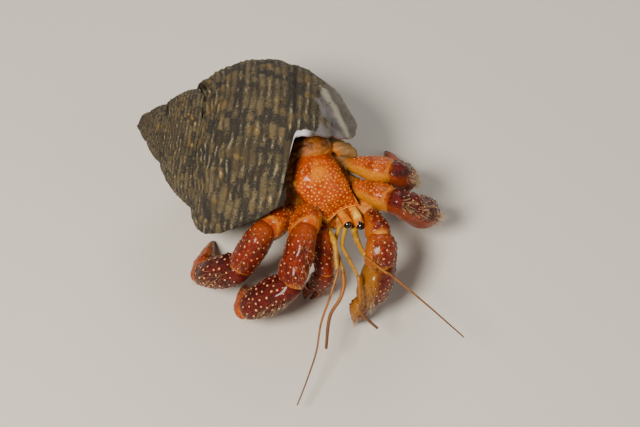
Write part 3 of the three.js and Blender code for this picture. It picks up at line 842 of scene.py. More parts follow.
# %% The plates' colours
CREAM = colour(232, 176, 118)
red_paint = plate_paint(
    "red_plate", colour(118, 27, 3), colour(56, 6, 4), colour(172, 84, 8), CREAM,
    root=colour(156, 62, 4),
)
deep_paint = plate_paint(
    "deep_red_plate", colour(88, 12, 4), colour(40, 3, 5), colour(134, 50, 8), CREAM, maroon=0.75
)
orange_paint = plate_paint(
    "orange_plate", colour(184, 78, 2), colour(128, 30, 3), colour(206, 126, 8),
    colour(238, 168, 74), maroon=0.75, rim_at=0.95, root=colour(150, 100, 24),
)
tip_paint = plate_paint(
    "leg_tip", colour(170, 66, 6), colour(106, 24, 5), colour(200, 112, 18), CREAM,
    claw_tip=colour(38, 20, 16),
)
claw_paint = plate_paint(
    "claw_plate", colour(104, 22, 4), colour(56, 8, 5), colour(146, 90, 12), CREAM,
    claw_tip=colour(46, 26, 20),
)
print("plate paints ready")

# %% [markdown]
# ## The walking legs
#
# Two pairs of strong legs carry the animal. From the body outwards each has a merus, a carpus, a
# propodus and a pointed dactyl. The outer faces are beaded; the carpus and the propodus are the
# reddest. A leg is given by its joints' places alone, and each plate is strung between two of them,
# so moving one joint moves both plates that meet there.

# %% The legs' joints
LEGS = {
    "leg2_right": (
        body(1, -3.4, -7.6), Vector((-2.7, -9, 16)), Vector((-2.8, -18.5, 20.5)),
        Vector((-5.6, -26.2, 14)), Vector((-14.2, -27.4, 7.4)), Vector((-14.6, -17.2, 0)),
    ),
    "leg3_right": (
        body(-2.5, -3.4, -7.6), Vector((-5, -9.6, 14.6)), Vector((-10.4, -17.6, 19.5)),
        Vector((-15, -22, 13.4)), Vector((-22.8, -19.2, 7)), Vector((-21.2, -6.8, 0)),
    ),
    "leg2_left": (
        body(1, 3.4, -7.6), Vector((6.1, -5.5, 17)), Vector((14, -11.1, 20)),
        Vector((18.8, -9.9, 15)), Vector((20.3, -4.8, 7)), Vector((21.3, 3.8, 0)),
    ),
    "leg3_left": (
        body(-2.5, 3.4, -7.6), Vector((5.2, -1.5, 19)), Vector((14.2, -5, 20.5)),
        Vector((15.1, -0.7, 13)), Vector((15.9, 5, 5.5)), Vector((13.5, 15.4, 0)),
    ),
}
OUTER_SIDE = {
    "leg2_right": Vector((-0.35, -0.6, 0.7)),
    "leg3_right": Vector((-0.3, -0.6, 0.7)),
    "leg2_left": Vector((0.35, 0.35, 0.85)),
    "leg3_left": Vector((0.3, 0.6, 0.7)),
}
# each joint's width, depth, the granules' spacing and radius, and the paint
LEG_PLATES = {
    "merus": (7.4, 5.2, 0.74, 0.23, orange_paint, "upper_leg_plate"),
    "carpus": (7.0, 5.6, 1.05, 0.26, red_paint, "leg_plate"),
    "propodus": (7.4, 6.2, 1.08, 0.33, deep_paint, "leg_plate"),
    "dactyl": (4.2, 3.6, 0.95, 0.22, tip_paint, "leg_tip"),
}
DACTYL_BOW = 1.6
TUCK = 1.3
KNEE_TUCK = 1.8
LEG_BALL = 0.27  # the bulge of skin in a joint, as a share of the plate's smaller measure
NO_BOW = Vector()
print(len(LEGS), "legs of", len(LEG_PLATES), "plates")

# %% [markdown]
# A leg folds in one plane, so its plates are thin across that plane. On the left side, away from the
# key light, the knees are painted as dark as the plates after them, as painted shade.

# %% The legs' plates
plates = {}
joint_balls = []  # the soft skin's bulges at the joints: place and radius

for number, (leg, joints) in enumerate(LEGS.items()):
    upper, lower = joints[2] - joints[1], joints[4] - joints[2]
    flat = upper.cross(lower).normalized()
    for index, (joint, sizes) in enumerate(LEG_PLATES.items()):
        width, depth, spacing, radius, paint, slot = sizes
        start, end = joints[index + 1], joints[index + 2]
        bow = Vector((0, 0, DACTYL_BOW)) if joint == "dactyl" else NO_BOW
        name = f"{leg}_{joint}"
        # painted shade: the left carpi, away from the key light, take the darker red of the propodus
        if name.endswith("left_carpus"):
            paint = deep_paint
        # each plate's root sits inside the one before, and the knee's is the deepest
        tuck = (end - start).normalized() * (KNEE_TUCK if joint == "carpus" else TUCK)
        plate = Plate(
            start - tuck, end, bow, flat, joint, width, depth, OUTER_SIDE[leg],
            seed=number * 10 + index,
        )
        plates[name] = plate
        bm = new_plate_mesh()
        add_plate(bm, plate)
        reach = (0.12, 0.6) if joint == "dactyl" else (0.1, 0.92)
        count = add_granules(bm, plate, spacing, radius, reach)
        hand_over(name + "_plate", bm, paint, slot, [name])
        if joint != "merus":
            joint_balls.append((start, min(width, depth) * LEG_BALL))
    print(leg, "done, with", count, "granules on its tip")


# %% [markdown]
# ## The claws
#
# The left claw is much the larger one. Each hand has a fixed finger, and a free finger lies beside
# it on the inner side. Both fingers end in dark horny tips and close on a row of blunt teeth. The
# hand and its fixed finger are one piece, as they are on the animal, and the free finger is another.

# %% The claws' joints
# for each claw: the joints from the body to the tip, the width and depth of each plate, the thin
# direction, the way from the hand's middle to the free finger, the outer sides of the arm and of
# the hand, and the granules' radius
CLAWS = {
    "right": (
        (body(4.2, -3.2, -8), Vector((-0.4, -11.6, 14.6)), Vector((0.6, -16.6, 16)),
         Vector((0.9, -21.4, 10.3)), Vector((-0.7, -21, 5.6)), Vector((-2.4, -20.2, 0))),
        {"merus": (3.4, 3.2), "carpus": (3.8, 3.5), "palm": (4.2, 3.5), "finger": (2.1, 1.9)},
        Vector((0.3, 0.9, 0.2)), Vector((1.1, -0.3, 0.3)), Vector((-0.5, -0.6, 0.6)),
        Vector((-0.5, -0.6, 0.6)), 0.24,
    ),
    "left": (
        (body(4.2, 3.4, -8), Vector((9.4, -10.8, 15.6)), Vector((11.2, -18.6, 18.6)),
         Vector((11.3, -22.8, 15.2)), Vector((9.4, -24, 7)), Vector((7.6, -24.2, 0))),
        {"merus": (5.0, 4.6), "carpus": (6.8, 6.0), "palm": (9.4, 6.4), "finger": (4.5, 3.6)},
        Vector((0.75, -0.2, 0.1)), Vector((-1.5, -1.9, 0.2)), Vector((0.85, 0.15, 0.35)),
        Vector((1, 0.1, -0.2)), 0.28,
    ),
}
FINGER_BOW = 0.7
FINGER_TEETH = 7
CLAW_BALL = 0.30
CLAW_TUCK = 0.8  # of the legs' tuck
CLAW_SEED = 50
TIPS_APART = 0.42  # of the way from the hand's middle to the free finger, on either side
TIP_LIFT = Vector((0, 0, 0.15))  # the fingers' middle lines end this high, so their tips are flat
print(len(CLAWS), "claws")

# %% [markdown]
# A claw's arm is made like a leg. Its hand is one broad plate, from which the two fingers start
# side by side and bow apart before their tips meet.

# %% The claws' plates


def add_teeth(bm, plate, radius, side):
    """A row of blunt teeth on the edge where the two fingers meet."""
    for i in range(FINGER_TEETH):
        share = 0.25 + 0.6 * i / FINGER_TEETH
        place, normal = plate.point(share, side), plate.normal(share, side)
        size = radius * (1 - 0.5 * i / FINGER_TEETH)
        add_dome(bm, place, normal, size, size, 0.5, 0.3)


for number, (side, claw) in enumerate(CLAWS.items()):
    joints, sizes, flat, inward, outer, hand_outer, grain = claw
    _, shoulder, elbow, wrist, knuckle, tip = joints
    flat = flat.normalized()
    seed = CLAW_SEED + number * 10
    tip_low = tip + TIP_LIFT
    start = knuckle + (wrist - knuckle) * 0.12
    spans = {"merus": (shoulder, elbow, 0.9), "carpus": (elbow, wrist, 0.95)}
    for index, (joint, (near, far, spacing)) in enumerate(spans.items()):
        name = f"claw_{side}_{joint}"
        tuck = (far - near).normalized() * TUCK * CLAW_TUCK
        plate = Plate(
            near - tuck, far, NO_BOW, flat, joint, *sizes[joint], outer,
            seed=seed + index,
        )
        plates[name] = plate
        bm = new_plate_mesh()
        add_plate(bm, plate)
        add_granules(bm, plate, spacing, grain, (0.1, 0.93))
        hand_over(name + "_plate", bm, red_paint, "claw_plate", [name])
        if joint != "merus":
            joint_balls.append((near, min(sizes[joint]) * CLAW_BALL))
    joint_balls.append((wrist, min(sizes["palm"]) * CLAW_BALL))
    tuck = (knuckle - wrist).normalized() * TUCK * CLAW_TUCK
    hand = Plate(
        wrist - tuck, knuckle, NO_BOW, flat, "palm", *sizes["palm"], hand_outer, seed=seed + 5
    )
    fixed = Plate(
        start - inward * 0.75, tip_low - inward * TIPS_APART, inward * -FINGER_BOW, flat,
        "dactyl", sizes["finger"][0] * 1.1, sizes["finger"][1] * 1.1, hand_outer, seed=seed + 6,
    )
    free = Plate(
        start + inward, tip_low + inward * TIPS_APART, inward * FINGER_BOW, flat, "dactyl",
        *sizes["finger"], hand_outer, seed=seed + 7,
    )
    plates[f"claw_{side}_palm"] = hand
    plates[f"claw_{side}_finger"] = free
    bm = new_plate_mesh()
    add_plate(bm, hand)
    add_granules(bm, hand, 1.0, grain * 1.15, (0.1, 0.95))
    add_plate(bm, fixed)
    add_granules(bm, fixed, 0.9, grain * 0.8, (0.25, 0.7))
    add_teeth(bm, fixed, grain, math.pi / 2)
    hand_over(f"claw_{side}_hand", bm, claw_paint, "claw_plate", [f"claw_{side}_palm"])
    bm = new_plate_mesh()
    add_plate(bm, free)
    add_granules(bm, free, 0.9, grain * 0.8, (0.1, 0.7))
    add_teeth(bm, free, grain, -math.pi / 2)
    hand_over(f"claw_{side}_free_finger", bm, claw_paint, "claw_plate", [f"claw_{side}_finger"])
print("claws done,", len(plates), "plates so far")

# %% [markdown]
# ## The shield
#
# The hard front half of the carapace. It is a low dome with steep sides: narrow behind, widest past
# the middle, with a wavy front edge whose pale lip runs from one corner lobe to the other over the
# eyes. A curved groove crosses it near the back. It is beaded all over but for a smooth saddle.

# %% The shield's shape


class Shield:
    HALF_LENGTH = 6.4
    HALF_WIDTH = 4.75
    HEIGHT = 3.0
    BOW = 1.3
    RIM = 0.6  # the share of the net's way, from the top's middle to the bottom's, at the edge
    AHEAD_OF_CENTRE = 0.9
    BELOW_CENTRE = -2.5
    GROOVE_DEPTH = 0.26
    SECOND_GROOVE_DEPTH = 0.18
    LIP_HEIGHT = 0.6
    LUMP_HEIGHT = 0.16

    def edge_share(self, to_left, ahead):
        """The share of the way to the edge. The front corners are the sharper ones."""
        square = 3.0 + 1.8 * ease(math.sin(math.atan2(ahead, to_left)), 0.0, 0.6)
        return (abs(to_left) ** square + abs(ahead) ** square) ** (1 / square)

    def plan(self, share, angle):
        """How far out from the middle, and how far to the left and ahead, from -1 to 1."""
        out = min(1.0, share / self.RIM)
        across, along = math.cos(angle), math.sin(angle)
        reach = out / self.edge_share(across, along)
        return out, reach * across, reach * along

    def point(self, share, angle):
        out, to_left, ahead = self.plan(share, angle)
        wide = 0.84 + 0.16 * ease(ahead, -1.0, 0.0)
        wide += (0.13 + 0.06 * to_left) * (ease(ahead, 0.72, 0.92) - ease(ahead, 0.1, 0.7))
        wide += 0.10 * ease(-to_left, 0.5, 1.0) * math.exp(-(((ahead + 0.32) / 0.3) ** 2))
        lobes = 3.3 * abs(to_left) ** 3
        x = to_left * wide * self.HALF_WIDTH
        y = ahead * self.HALF_LENGTH + lobes * ease(ahead, 0.4, 0.95)
        y += 0.35 * x * ease(-ahead, 0.2, 1.0)
        height = self.HEIGHT * (1 - out**2.7) ** 0.52
        height -= 0.9 * ease(ahead, 0.4, 1.1) + 0.35 * ease(-ahead, 0.5, 1.1)
        groove = ahead + 0.60 - 0.28 * to_left**2
        inside = ease(1 - out, 0.0, 0.12)
        height -= self.GROOVE_DEPTH * math.exp(-((groove / 0.05) ** 2)) * inside
        second = ahead + 0.80 - 0.12 * to_left**2
        height -= self.SECOND_GROOVE_DEPTH * math.exp(-((second / 0.035) ** 2)) * inside
        height += 0.06 * math.sin(ahead * 46) * ease(-ahead, 0.5, 0.9)
        lip = math.exp(-(((out - 0.94) / 0.03) ** 2))
        lip -= 0.5 * math.exp(-(((out - 0.86) / 0.03) ** 2))
        height += self.LIP_HEIGHT * lip * ease(ahead, 0.4, 0.75)
        if share > self.RIM:
            under = (share - self.RIM) / (1 - self.RIM)
            x, y = x * (1 - under), y * (1 - under)
            height = -0.9 * ease(ahead, 0.4, 1.1) - 0.45 * ease(under, 0.0, 0.2)
        arch = self.BOW / 2 * (1 - ahead * ahead)
        drift = -1.6 + 0.85 * ahead + 2.1 * ahead * ahead
        place = body(self.AHEAD_OF_CENTRE + y, x + drift, self.BELOW_CENTRE + height + arch)
        lumps = noise.fractal(place * 0.5, 0.6, 2.0, 2) * self.LUMP_HEIGHT
        return place + dorsal * (lumps * ease(1 - out, 0.0, 0.2))

    def normal(self, share, angle):
        step = 0.012
        one = self.point(share + step, angle) - self.point(max(share - step, 0.001), angle)
        two = self.point(share, angle + step) - self.point(share, angle - step)
        normal = one.cross(two).normalized()
        return -normal if normal.dot(dorsal) < 0 and share < self.RIM else normal


shield = Shield()
plates["shield"] = shield
print("the shield's nose lies at", shield.point(Shield.RIM, math.pi / 2))

# %% [markdown]
# The shield is the brightest plate. Its skin is a sphere's net again, this time with one pole on
# top and one beneath. The lip is paler, the right-hand edge is paler as a pale lobe with a painted
# highlight on it, and the smooth saddle is yellower, through the same three numbers that every plate
# keeps.

# %% The shield's skin
shield_paint = plate_paint(
    "shield", colour(190, 76, 0), colour(140, 36, 0), colour(226, 132, 0), colour(240, 166, 52),
    maroon=0.6, rough=0.36, rim=colour(246, 180, 70),
)
bm = new_plate_mesh()
for vert, share, angle in sphere_net(bm, 128, 110, from_top=True):
    out, to_left, ahead = shield.plan(share, angle)
    rim = ease(out, 0.88, 0.92) * ease(ahead, 0.35, 0.6)
    # the right-hand edge, toward the key light: a pale lobe with a painted highlight
    pale_lobe_and_highlight = ease(out, 0.8, 0.96) * ease(-to_left, 0.5, 0.8)
    rim += pale_lobe_and_highlight * math.exp(-(((ahead + 0.3) / 0.25) ** 2))
    saddle = math.exp(-(((to_left + 0.1) / 0.6) ** 2) - ((ahead + 0.34) / 0.46) ** 2)
    mark(bm, vert, 0.0, 0.5 + 0.5 * rim, 0.5 - 0.62 * saddle)
    vert.co = shield.point(share, angle)
print("the shield's skin has", len(bm.verts), "vertices")

# %% [markdown]
# Its granules are finer and closer than those of the limbs. They thin out on the saddle, and there
# are none behind the groove or on the lip.

# %% The shield's granules
SHIELD_TRIES = 5200
SHIELD_SPACING = 0.64
SHIELD_GRANULES = (0.22, 0.32)
LIP_FROM = 0.93
BEHIND_GROOVE = -0.66
kept = []
for _ in range(SHIELD_TRIES):
    to_left, ahead = rng.uniform(-1, 1), rng.uniform(-1, 1)
    out = shield.edge_share(to_left, ahead)
    share, angle = Shield.RIM * out, math.atan2(ahead, to_left)
    saddle = math.exp(-((to_left / 0.45) ** 2) - ((ahead + 0.22) / 0.30) ** 2)
    if out > LIP_FROM or ahead < BEHIND_GROOVE or rng.random() < saddle * 0.6:
        continue
    place = shield.point(share, angle)
    if any((place - other).length < SHIELD_SPACING for other in kept):
        continue
    kept.append(place)
    normal = shield.normal(share, angle)
    size = rng.uniform(*SHIELD_GRANULES) * (1.0 - 0.3 * ease(-ahead, 0.0, 0.6))
    add_dome(bm, place - normal * size * 0.2, normal, size, size * 0.6, 0.5, 0.6)
hand_over("carapace_shield", bm, shield_paint, "shield", ["shield"])
print("the shield carries", len(kept), "granules")


# %% [markdown]
# ## The head
#
# Two stout eyestalks stand side by side under the wavy front edge, orange with a cream top that is
# partly painted highlight, each ending in a black domed cornea. Small pale scales sit between their
# roots. Below them spring the jointed stalks of the antennules and the antennae, and under those
# hang the hairy mouth feet.

# %% Eyes
EYES = {
    "right": (body(6.9, 0.1, -3.2), body(9.5, -0.2, -0.2)),
    "left": (body(7.2, 2.4, -3.1), body(10.6, 1.8, 0.7)),
}
CORNEA_LENGTH = 2.3
CORNEA_WIDTH = 1.8
EYE_BLACK = colour(14, 9, 12)
EYE_BROWN = colour(30, 16, 20)
cornea_paint = Shader("cornea", roughness=0.12, coat_weight=0.8, coat_roughness=0.04)
eye_spot = cornea_paint.noise(cornea_paint.place(), 1.5)
cornea_paint.set("Base Color", cornea_paint.mix(eye_spot, EYE_BLACK, EYE_BROWN))
print("the eyes look along", [(end - root).normalized() for root, end in EYES.values()])

# %% [markdown]
# An eyestalk is a plain tube, but its paint isn't plain: a rust-brown painted shade beneath, orange
# above, and a cream streak on top, partly its own cream and partly a painted highlight, that is
# strong on the left stalk and faint on the right one.

# %% Eyestalks
STALK_WIDTH = 2.0
STALK_DEPTH = 1.9
# the underside's brown is painted shade; the cream is partly the stalk's own colour and partly
# painted highlight
STALK_SHADE_BROWN = colour(120, 50, 4)
STALK_ORANGE = colour(196, 104, 4)
STALK_CREAM_HIGHLIGHT = colour(238, 194, 74)
CREAM_HIGHLIGHT_SHARE = {"right": 0.25, "left": 0.9}
INTO_HEAD = 0.6
INTO_CORNEA = 0.4
stalk_paint = Shader("eyestalk", roughness=0.34, coat_weight=0.25)
stalk_paint.principled.inputs["Specular IOR Level"].default_value = 0.2
along = stalk_paint.attribute("along")
facing = stalk_paint.attribute("facing")
stalk_noise = stalk_paint.noise(stalk_paint.place(), 0.9)
# painted light and shade: orange where the stalk faces up, the shaded brown beneath
lit_side = stalk_paint.step(facing + stalk_noise, 0.2, 1.1)
stalk_colour = stalk_paint.mix(lit_side, STALK_SHADE_BROWN, STALK_ORANGE)
# the cream streak on top is partly the stalk's own cream and partly a painted highlight
cream_and_highlight_top = stalk_paint.step(along, 0.2, 0.45) - stalk_paint.step(along, 0.7, 0.86)
cream_and_highlight_top = cream_and_highlight_top * stalk_paint.step(facing + stalk_noise * 0.5, 0.5, 1.0)
cream_and_highlight_top = cream_and_highlight_top * stalk_paint.attribute("pearl")
stalk_paint.set("Base Color", stalk_paint.mix(cream_and_highlight_top, stalk_colour, STALK_CREAM_HIGHLIGHT))

for side, (root, end) in EYES.items():
    gaze = (end - root).normalized()
    bm = new_plate_mesh()
    stalk = Plate(
        root - gaze * INTO_HEAD, end + gaze * INTO_CORNEA, Vector((0, 0, 0.2)), dorsal, "tube",
        STALK_WIDTH, STALK_DEPTH, dorsal,
    )
    add_plate(bm, stalk, sides=28, rings=30)
    for vert in bm.verts:
        vert[bm.verts.layers.float["pearl"]] = CREAM_HIGHLIGHT_SHARE[side]
    hand_over(f"eyestalk_{side}_stalk", bm, stalk_paint.material, "eyestalk", [f"eyestalk_{side}"])
    bm = bmesh.new()
    made = bmesh.ops.create_uvsphere(bm, u_segments=32, v_segments=24, radius=1)
    turn = gaze.to_track_quat("Z", "Y").to_matrix().to_4x4()
    size = Matrix.Diagonal((CORNEA_WIDTH / 2, CORNEA_WIDTH / 2, CORNEA_LENGTH / 2, 1))
    bmesh.ops.transform(bm, matrix=Matrix.Translation(end) @ turn @ size, verts=made["verts"])
    hand_over(f"cornea_{side}_dome", bm, cornea_paint.material, "cornea", [f"cornea_{side}"])

# %% [markdown]
# The feelers are strands: a smooth curve through a few points, with rings where one joint ends and
# the next begins. The whips are ringed all along. A bevelled curve object would be quicker, but its
# radius can't swell and pinch at each joint, and its ends would stay open.

# %% Strands


class Strand:
    def __init__(self, points, start_radius, end_radius):
        self.points = points
        self.start_radius, self.end_radius = start_radius, end_radius
        self.lengths = [0.0]
        for a, b in zip(points, points[1:]):
            self.lengths.append(self.lengths[-1] + (b - a).length)
        self.length = self.lengths[-1]

    def centre(self, share):
        place = min(max(share, 0.0), 1.0) * self.length
        last = max(i for i in range(len(self.points) - 1) if self.lengths[i] <= place)
        t = (place - self.lengths[last]) / (self.lengths[last + 1] - self.lengths[last])
        a, b = self.points[last], self.points[last + 1]
        before = self.points[last - 1] if last else a - (b - a)
        after = self.points[last + 2] if last + 2 < len(self.points) else b + (b - a)
        m0, m1 = (b - before) / 2, (after - a) / 2
        return (
            a * (2 * t**3 - 3 * t**2 + 1) + m0 * (t**3 - 2 * t**2 + t)
            + b * (-2 * t**3 + 3 * t**2) + m1 * (t**3 - t**2)
        )

    def crosswise(self, share):
        """Two directions square to the strand and to each other."""
        step = 0.1 / max(self.length, 1.0)
        tangent = (self.centre(share + step) - self.centre(share - step)).normalized()
        across = tangent.cross(left).normalized()
        return across, across.cross(tangent)


def add_strand(bm, strand, ring_gap, ring_height, sides=10, per_ring=2, joints=()):
    rings = max(12, int(strand.length / ring_gap * per_ring))
    for vert, share, angle in sphere_net(bm, sides, rings):
        row = round(share * rings)
        across, through = strand.crosswise(share)
        radius = strand.start_radius + (strand.end_radius - strand.start_radius) * share
        radius *= 1 + ring_height * (0.5 if row % per_ring else -0.5)
        for joint in joints:
            radius *= 1 + 0.12 * math.exp(-(((share - joint) / 0.05) ** 2))
            radius *= 1 - 0.25 * math.exp(-(((share - joint - 0.055) / 0.016) ** 2))
        if row in (0, rings):
            radius = 0.0
        mark(bm, vert, 0.0, share, 0.5)
        outward = across * math.cos(angle) + through * math.sin(angle)
        vert.co = strand.centre(share) + outward * radius


print("strands ready")

# %% [markdown]
# Each feeler is a stout base of three joints and a long thin whip. The antennae are the longer
# pair, and the antennules, between them, the stouter. For each feeler come the base's points, the
# whip's points, their two radii, and how far along the base its joints lie.

# %% The feelers' courses
FEELERS = {
    "antenna_right": (
        (body(7.8, -2, -4), (1.2, -13.8, 15.5), (2, -16, 16), (2.8, -18.4, 16), (3.2, -22.8, 14.2)),
        ((3.2, -23.4, 13.9), (2, -26.9, 12), (0.2, -31.8, 10), (-0.7, -36.8, 8),
         (-2.4, -41.6, 6), (-4.2, -45.8, 4)),
        0.56, 0.21, (0.24, 0.52),
    ),
    "antenna_left": (
        (body(9.5, 2.3, -3.4), (6.5, -15, 15.6), (7.1, -18.5, 16.8), (8.3, -22.5, 18.5)),
        ((8.6, -23.1, 18.6), (11.9, -26.7, 19.5), (13.1, -27.2, 19),
         (19.2, -31.2, 16), (26.4, -36.1, 12)),
        0.56, 0.21, (0.28, 0.55),
    ),
    "antennule_right": (
        (body(9.6, -0.5, -3.8), (2.8, -16.8, 14.2), (3.5, -19.6, 13.8), (4.3, -22.9, 14.3)),
        ((4.3, -23.5, 14.1), (4.4, -25.6, 13.3), (3.7, -27.9, 12.2),
         (1.8, -31, 10.8), (1.1, -36.7, 8.8)),
        0.36, 0.34, (0.32, 0.7),
    ),
    "antennule_left": (
        (body(9.8, 0.8, -3.8), (4.2, -17.1, 14.4), (5.1, -20.3, 15.1), (7, -26, 17)),
        ((7.1, -26.6, 16.9), (7.4, -28.5, 14.5), (7.6, -30.3, 11.5),
         (9.1, -31.3, 10), (10.8, -32.4, 9)),
        0.38, 0.30, (0.3, 0.68),
    ),
}
print(len(FEELERS), "feelers")

# %% [markdown]
# A feeler is honey yellow at the head and browner towards its end, with darker blotches.

# %% The feelers
BASE_TAPER = (1.12, 0.8)
WHIP_START = 1.25
WHIP_ENDS = {"antenna": 0.62, "antennule": 0.85}


def feeler_paint(name, near, far, mark_colour):
    paint = Shader(name, roughness=0.4)
    along = paint.attribute("along")
    wave = paint.noise(paint.place(), 0.8)
    base = paint.mix(paint.step(along + (wave - 0.5) * 0.4, 0.1, 0.9), near, far)
    base = paint.mix(paint.step(wave, 0.52, 0.7) * 0.6, base, mark_colour)
    paint.set("Base Color", base)
    return paint.material


base_paint = feeler_paint(
    "feeler_base", colour(192, 146, 34), colour(170, 118, 24), colour(118, 74, 18)
)
whip_paint = feeler_paint("feeler_whip", colour(150, 88, 12), colour(92, 54, 14), colour(80, 38, 8))
for name, (base, whip, base_radius, whip_radius, joints) in FEELERS.items():
    bm = new_plate_mesh()
    strand = Strand([Vector(p) for p in base], *(base_radius * share for share in BASE_TAPER))
    add_strand(bm, strand, 0.5, 0.02, sides=16, joints=joints)
    hand_over(f"{name}_stalk", bm, base_paint, "feeler_base", [f"{name}_base"])
    bm = new_plate_mesh()
    thin = WHIP_ENDS[name.split("_")[0]]
    course = [Vector(p) for p in (base[-1], *whip)]
    strand = Strand(course, whip_radius * WHIP_START, whip_radius * thin)
    add_strand(bm, strand, 0.32, 0.14, sides=8)
    hand_over(f"{name}_flagellum", bm, whip_paint, "feeler", [f"{name}_whip"])
print("feelers done")

# %% [markdown]
# The outer mouth feet, the third maxillipeds, hang under the head like a pair of folded palps. A
# small scale, the ocular acicle, lies over the root of each eyestalk.

# %% Mouth feet and scales
mouth_paint = plate_paint(
    "mouthpart", colour(150, 60, 12), colour(100, 30, 10), colour(190, 120, 40), CREAM
)
for side, sign in (("right", -1), ("left", 1)):
    points = [
        body(6.9, sign * 1.5, -6.2), body(9.2, sign * 1.7, -8.2), body(8.6, sign * 1.1, -11.4),
    ]
    bm = new_plate_mesh()
    for i, (start, end) in enumerate(zip(points, points[1:])):
        width, depth = 2.2 - 0.3 * i, 1.9 - 0.3 * i
        joint = Plate(start, end, NO_BOW, left, "merus", width, depth, forward, seed=70 + i)
        plates[f"maxilliped_{side}_{i}"] = joint
        add_plate(bm, joint, sides=24, rings=26)
    root, end = EYES[side]
    scale_root = root + dorsal * 0.9 + forward * 0.2 - left * sign * 0.9
    scale = Plate(
        scale_root, scale_root + (end - root).normalized() * 1.9 + dorsal * 0.15, NO_BOW, dorsal,
        "dactyl", 1.0, 0.5, dorsal, seed=75,
    )
    add_plate(bm, scale, sides=20, rings=20)
    hand_over(f"mouth_foot_{side}", bm, mouth_paint, "mouthpart", [f"maxilliped_{side}"])

# %% [markdown]
# Beside the eyes the head's own side plates reach forward from under the shield's corners. They
# are no thicker than a fingernail, and are modelled as flat plates.

# %% The head's side plates
SIDE_PLATES = (
    (body(7.4, 4.6, -2.9), body(11.2, 3.5, -3.8)),
    (body(6.6, -2.2, -3.2), body(9.4, -1.9, -3.6)),
)
SIDE_PLATE_WIDTH = 2.4
SIDE_PLATE_DEPTH = 1.1
flap_paint = plate_paint(
    "head_plate", colour(190, 98, 4), colour(140, 60, 4), colour(204, 126, 12), CREAM,
    maroon=0.5, rim=colour(196, 132, 40),
)
bm = new_plate_mesh()
for start, end in SIDE_PLATES:
    flap = Plate(
        start, end, NO_BOW, dorsal, "palm", SIDE_PLATE_WIDTH, SIDE_PLATE_DEPTH, dorsal, seed=77
    )
    add_plate(bm, flap)
hand_over("head_side_plates", bm, flap_paint, "mouthpart")
print("head done")

# %% [markdown]
# ## The soft skin
#
# One skin joins everything that isn't hard: the sides of the trunk, the hind part of the carapace,
# the coiled abdomen in the shell's mouth, the coxae and the bulges between the plates. The rough
# volumes are laid over each other, fused on a fine grid and smoothed, so no seam is left.

# %% Rough volumes of the skin
bm = new_plate_mesh()


def add_soft(bm, start, end, bow, flat, width, depth, profile="palm"):
    add_plate(bm, Plate(start, end, bow, flat, profile, width, depth, dorsal), sides=32, rings=30)


def add_coxa(bm, root, shoulder, reach, size):
    """The first joint of a limb. It reaches a little way into the plate that follows."""
    end = shoulder + (shoulder - root).normalized() * reach
    add_soft(bm, root, end, NO_BOW, left, size, size, "tube")


def add_ball(bm, place, radius, subdivisions=2):
    where_to = Matrix.Translation(place)
    bmesh.ops.create_icosphere(bm, subdivisions=subdivisions, radius=radius, matrix=where_to)


TRUNK = (
    (body(-5.8, -1.3, -5.4), body(6.9, 0, -5.2), left * -0.8, 9.6, 9.4),
    (body(5.4, 0.8, -4.8), body(10.2, 1.2, -4.6), NO_BOW, 7.2, 4.4),
    (body(-3.4, -0.9, -4.6), body(-8.4, 0.2, -4.8), NO_BOW, 8.6, 8.4),
    (body(-7.0, -0.6, -4.6), Vector((-4.4, 3.8, 22.4)), NO_BOW, 7.6, 7.8),
)
LAST_LEGS = (
    (body(-4.8, 3.6, -4.4), Vector((7.0, -2.1, 22.0)), Vector((0.4, 0.3, 0.5)), 2.7, 2.6),
    (body(-4.6, -4, -4.8), Vector((-7.6, -1.6, 20.5)), Vector((-0.4, 0.3, 0.5)), 3.0, 2.8),
)
LEG_COXA = 4.0
CLAW_COXAE = {"right": 3.2, "left": 4.2}
EYE_SOCKET = 1.1
FEELER_SOCKET = 0.75
for start, end, bow, width, depth in TRUNK:
    add_soft(bm, start, end, bow, dorsal, width, depth)
for joints in LEGS.values():
    add_coxa(bm, joints[0], joints[1], 0.7, LEG_COXA)
for side, (joints, *_) in CLAWS.items():
    add_coxa(bm, joints[0], joints[1], 0.6, CLAW_COXAE[side])
for start, end, bow, width, depth in LAST_LEGS:
    add_soft(bm, start, end, bow, dorsal, width, depth, "bead")
for place, radius in joint_balls:
    add_ball(bm, place, radius, subdivisions=3)
for root, _ in EYES.values():
    add_ball(bm, root, EYE_SOCKET)
for base, *_ in FEELERS.values():
    add_ball(bm, Vector(base[0]), FEELER_SOCKET)
print("rough skin of", len(bm.faces), "faces before the abdomen")

# %% [markdown]
# A hermit crab's abdomen is soft and coiled, and fills the shell's whorls. Only the part just
# inside the mouth can be seen, so it is made as a plug that follows the same winding as the shell
# and keeps a little clear of its wall.

# %% The abdomen in the shell's mouth
ABDOMEN_TURNS = (-1.7, -1.15)
ABDOMEN_SIDES = 40
ABDOMEN_RINGS = 24
ABDOMEN_GAP = 0.6
for vert, share, angle in sphere_net(bm, ABDOMEN_SIDES, ABDOMEN_RINGS):
    turn = ABDOMEN_TURNS[0] + (ABDOMEN_TURNS[1] - ABDOMEN_TURNS[0]) * share
    swell = math.sin(share * math.pi) ** 0.35
    growth = GROWTH_PER_TURN ** (turn / (2 * math.pi))
    inset = -TUBE_RADIUS * growth + (TUBE_RADIUS * growth - WALL - ABDOMEN_GAP) * swell
    vert.co = Vector(wound(np.array([turn]), np.array([angle]), np.array([inset]))[0])
print("rough skin of", len(bm.faces), "faces")

# %% [markdown]
# The volumes could be joined one by one with booleans, but every join would leave a crease. A
# voxel grid fuses them in one go, and a few rounds of smoothing melt the joins away.

